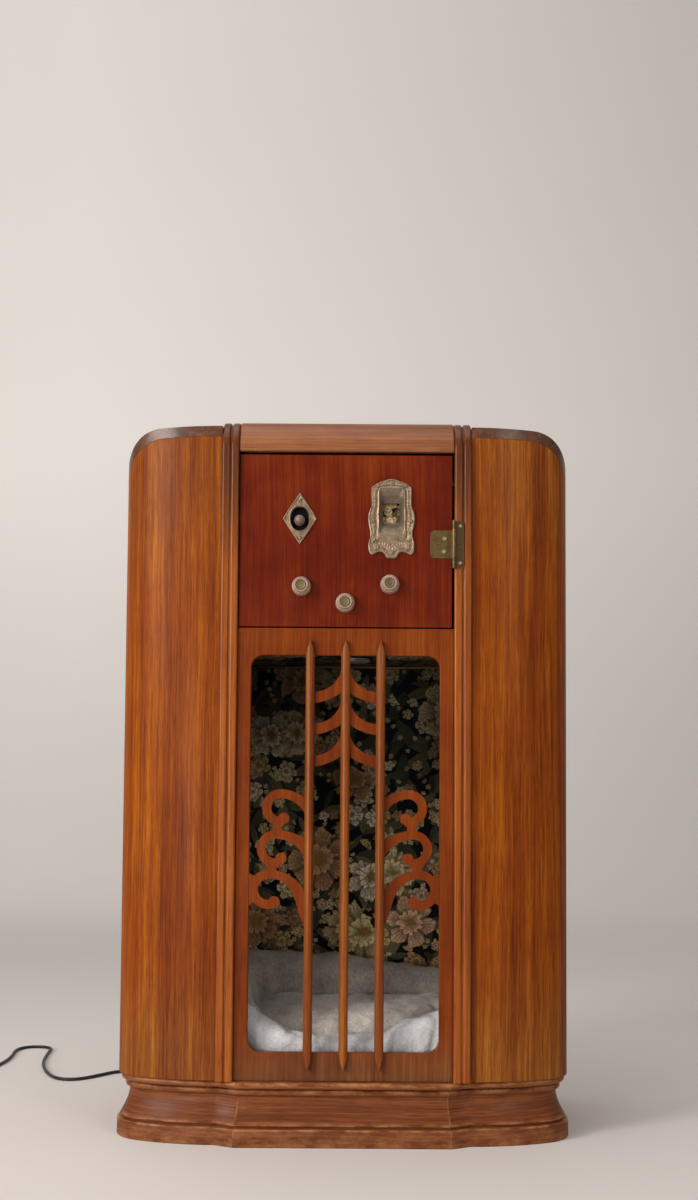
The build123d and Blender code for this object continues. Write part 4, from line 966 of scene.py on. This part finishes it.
def cloth_board(name, body, node, near, far, heights, wave=1.1):
    """Thin cloth between two plan lines, near the room and near the board, with UVs in metres."""
    cols, rows = len(near) - 1, len(heights) - 1
    run = [0.0]
    for a, b in zip(near, near[1:]):
        run.append(run[-1] + math.hypot(b[0] - a[0], b[1] - a[1]) * MM)
    bm = bmesh.new()
    uv = bm.loops.layers.uv.new("metres")
    grids = ([], [])
    place = {}
    for j, z in enumerate(heights):
        lines = ([], [])
        for i in range(cols + 1):
            rim = min(1.0, min(i, cols - i, j, rows - j) / 4)
            gap = Vector((near[i][0] - far[i][0], near[i][1] - far[i][1], 0))
            lift = ripple(run[i], z * MM, len(name)) * wave * rim
            point = Vector((near[i][0], near[i][1], 0)) + gap.normalized() * lift
            for line, at in zip(lines, (point, Vector((far[i][0], far[i][1], 0)))):
                vert = bm.verts.new(P(at.x, at.y, z))
                place[vert] = (run[i] + 0.137 * len(name), z * MM)
                line.append(vert)
        grids[0].append(lines[0])
        grids[1].append(lines[1])

    def quad(*verts):
        face = bm.faces.new(verts)
        for loop in face.loops:
            loop[uv].uv = place[loop.vert]

    room, board = grids
    for j in range(rows):
        for i in range(cols):
            quad(room[j][i], room[j][i + 1], room[j + 1][i + 1], room[j + 1][i])
            quad(board[j][i], board[j + 1][i], board[j + 1][i + 1], board[j][i + 1])
    loops = []
    for grid in grids:
        loops.append([grid[0][i] for i in range(cols)] + [grid[j][cols] for j in range(rows)]
                     + [grid[rows][i] for i in range(cols, 0, -1)] + [grid[j][0] for j in range(rows, 0, -1)])
    count = len(loops[0])
    for k in range(count):
        m = (k + 1) % count
        quad(loops[0][k], loops[1][k], loops[1][m], loops[0][m])
    obj = new_mesh(name, bm)
    finish_piece(obj, body, "floral_cloth", node, angle=60)


def make_linings():
    low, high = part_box("lining_left")[0][2] / MM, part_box("lining_left")[1][2] / MM
    heights = [low + (high - low) * j / 72 for j in range(73)]
    near, far = wall_line(10.8, 304), wall_line(9.2, 304)
    cloth_board("lining_right_cloth", "cabinet", "lining_right", near, far, heights)
    mirror_near, mirror_far = [(-x, y) for x, y in near], [(-x, y) for x, y in far]
    cloth_board("lining_left_cloth", "cabinet", "lining_left", mirror_near, mirror_far, heights)
    lo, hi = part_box("back_door_lining")
    across = [(lo[0] + (hi[0] - lo[0]) * i / 72) / MM for i in range(73)]
    face, board = (lo[1] - FACE_Y) / MM, (hi[1] - FACE_Y) / MM
    heights = [(lo[2] + (hi[2] - lo[2]) * j / 72) / MM for j in range(73)]
    cloth_board("back_door_cloth", "back_door", "back_door_lining", [(x, face) for x in across],
                [(x, board) for x in across], heights, wave=2.4)
    cut_lining("lining_ceiling", (0.17, 0.50), "floral_cloth")
    cut_lining("door_lining", (0.31, -0.60), "floral_cloth")
    cut_lining("dial_cloth", (0.05, -0.66), "dial_floral")


def cut_lining(node, shift, mat):
    """Cloth with a shaped cut: the board's outline, mapped flat."""
    lo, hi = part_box(node)
    size = [hi[i] - lo[i] for i in range(3)]
    axis = size.index(min(size))
    ui, vi = [i for i in range(3) if i != axis]
    bm = bmesh.new()
    bm.from_mesh(NODES[node].data)
    bmesh.ops.remove_doubles(bm, verts=bm.verts, dist=1e-6)
    for index in bm.loops.layers.uv.keys():
        bm.loops.layers.uv.remove(bm.loops.layers.uv[index])
    uv = bm.loops.layers.uv.new("metres")
    area = 0.0
    for face in bm.faces:
        face.material_index = 0
        if abs(face.normal[axis]) > 0.7:
            area += face.calc_area() / 2
        for loop in face.loops:
            loop[uv].uv = (loop.vert.co[ui] + shift[0], loop.vert.co[vi] + shift[1])
    obj = new_mesh(node + "_cut", bm)
    finish_piece(obj, body_of(NODES[node])[0], "floral_cloth", node, mats=[mat], angle=60)


# ---- bed -------------------------------------------------------------------------------
def bed_path(count=132):
    """Middle line of the bolster with its half width, top height and outward direction."""
    x0, x1, y0, y1 = -214.0, 262.0, 17.0, 298.0
    cx, cy = (x0 + x1) / 2, (y0 + y1) / 2
    points = []
    for i in range(count):
        turn = 2 * math.pi * i / count
        c, s = math.cos(turn), math.sin(turn)
        side = 1 / (1 + (abs(s / c) * 1.45) ** 8) if abs(c) > 1e-6 else 0.0
        half = 31.0 + 9.0 * side
        hx, hy = (x1 - x0) / 2 - half, (y1 - y0) / 2 - half
        power = 4.6
        radius = (abs(c / hx) ** power + abs(s / hy) ** power) ** (-1 / power)
        x, y = cx + radius * c, cy + radius * s
        out = Vector((c * abs(c) ** (power - 2) * abs(radius / hx) ** (power - 1) / hx,
                      s * abs(s) ** (power - 2) * abs(radius / hy) ** (power - 1) / hy, 0)).normalized()
        front_share = max(0.0, min(1.0, (72 - y) / 30 + 0.5))
        back_share = max(0.0, min(1.0, (y - 228) / 40 + 0.5))
        dip = 1 / (1 + (abs(x + 12) / 98.0) ** 5)
        front_top = 189.0 - 46.0 * dip
        back_top = 249.0 - 27.0 * max(0.0, min(1.0, (x + 20) / 180.0))
        top = 236.0 * (1 - front_share - back_share) + front_top * front_share + back_top * back_share
        points.append((x, y, half, top, out))
    return points


def stuff(obj, pressure, cap):
    """Puffs a closed mesh out under cloth simulation, with each vertex's move limited."""
    remesh = obj.modifiers.new("remesh", "REMESH")
    remesh.mode = "VOXEL"
    remesh.voxel_size = 0.0058
    apply_modifiers(obj)
    start = [v.co.copy() for v in obj.data.vertices]
    cloth = obj.modifiers.new("cloth", "CLOTH")
    settings = cloth.settings
    settings.quality = 5
    settings.mass = 0.3
    settings.use_pressure = True
    settings.uniform_pressure_force = pressure
    settings.effector_weights.gravity = 0.0
    settings.tension_stiffness = settings.compression_stiffness = 18
    settings.shear_stiffness = 10
    settings.bending_stiffness = 1.2
    settings.tension_damping = settings.compression_damping = 12
    cloth.collision_settings.use_collision = False
    cloth.collision_settings.use_self_collision = False
    cloth.point_cache.frame_start, cloth.point_cache.frame_end = 1, 20
    for frame_number in range(1, 21):
        bpy.context.scene.frame_set(frame_number)
    apply_modifiers(obj)
    bpy.context.scene.frame_set(1)
    for vert, old in zip(obj.data.vertices, start):
        move = vert.co - old
        if move.length > cap:
            vert.co = old + move * (cap / move.length)
    subdivide = obj.modifiers.new("fine", "SUBSURF")
    subdivide.levels = subdivide.render_levels = 1
    apply_modifiers(obj)


def apply_modifiers(obj):
    graph = bpy.context.evaluated_depsgraph_get()
    graph.update()
    mesh = bpy.data.meshes.new_from_object(obj.evaluated_get(graph), depsgraph=graph)
    old = obj.data
    obj.modifiers.clear()
    obj.data = mesh
    bpy.data.meshes.remove(old)


def pile(obj, depth, floor_z):
    """Lumpy stuffing and a fine tufted pile, kept above the bottom board."""
    normals = [v.normal.copy() for v in obj.data.vertices]
    for vert, normal in zip(obj.data.vertices, normals):
        p = vert.co
        fold = 1 - abs(noise.noise(Vector((p.x * 13, p.y * 13, p.z * 5)))) * 2
        lump = noise.noise(p * 16) * 3.4 + noise.noise(p * 40) * 2.2 + noise.noise(p * 90) * 1.4 - max(0.0, fold) ** 6 * 3.5
        tuft = noise.noise(p * 260) * depth
        p += normal * (lump + tuft) * MM
        p.z = max(p.z, floor_z)


def make_bed():
    floor_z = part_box("bed_cushion")[0][2]
    bm = bmesh.new()
    rings = []
    for x, y, half, top, direction in bed_path():
        ring = []
        for i in range(26):
            turn = 2 * math.pi * i / 26
            c, s = math.cos(turn), math.sin(turn)
            across = math.copysign(abs(c) ** 0.85, c) * (half - 2)
            low, high = 106.0, top - 2.0
            z = (low + high) / 2 + math.copysign(abs(s) ** 0.8, s) * (high - low) / 2
            ring.append(P(x + direction.x * across, y + direction.y * across, z))
        rings.append(ring)
    rings.append(rings[0])
    rows = [[bm.verts.new(p) for p in ring] for ring in rings[:-1]]
    for a, b in zip(rows, rows[1:] + rows[:1]):
        for i in range(26):
            j = (i + 1) % 26
            bm.faces.new((a[i], a[j], b[j], b[i]))
    bolster = new_mesh("bolster_stuffed", bm)
    stuff(bolster, 4.0, 0.006)
    pile(bolster, 0.7, floor_z)
    for face in bolster.data.polygons:
        # Painted light: faces towards the front of the bolster take the paler, bluer plush copy.
        wander = noise.noise(face.center * 20) * 0.004
        face.material_index = 1 if face.center.y + wander < P(0, 52, 0).y else 0
    finish_piece(bolster, "cabinet", "plush", "bed_bolster", mats=["plush", "pale_plush"], angle=80)

    bm = bmesh.new()
    rings = []
    for share, z in ((0.80, 115), (0.97, 120), (1.0, 130), (1.0, 152), (0.95, 166), (0.82, 172), (0.5, 175), (0.12, 176)):
        ring = []
        for i in range(96):
            turn = 2 * math.pi * i / 96
            c, s = math.cos(turn), math.sin(turn)
            radius = (abs(c / 178.0) ** 7 + abs(s / 90.0) ** 7) ** (-1 / 7) * share
            slope = 20.0 * share * (radius * s / 90.0) if z > 150 else 0.0
            ring.append(P(24 + radius * c, 159 + radius * s, z - 9 + slope))
        rings.append(ring)
    loft(bm, rings)
    cushion = new_mesh("cushion_stuffed", bm)
    stuff(cushion, 4.0, 0.008)
    pile(cushion, 0.8, floor_z)
    finish_piece(cushion, "cabinet", "plush", "bed_cushion", mats=["cushion_plush"], angle=80)


# ---- build -----------------------------------------------------------------------------
make_camera()
dress_nodes()
make_cord()
make_floor()
make_light()
make_plinth()
soften_all()
make_dial()
make_diamond()
make_linings()
make_bed()
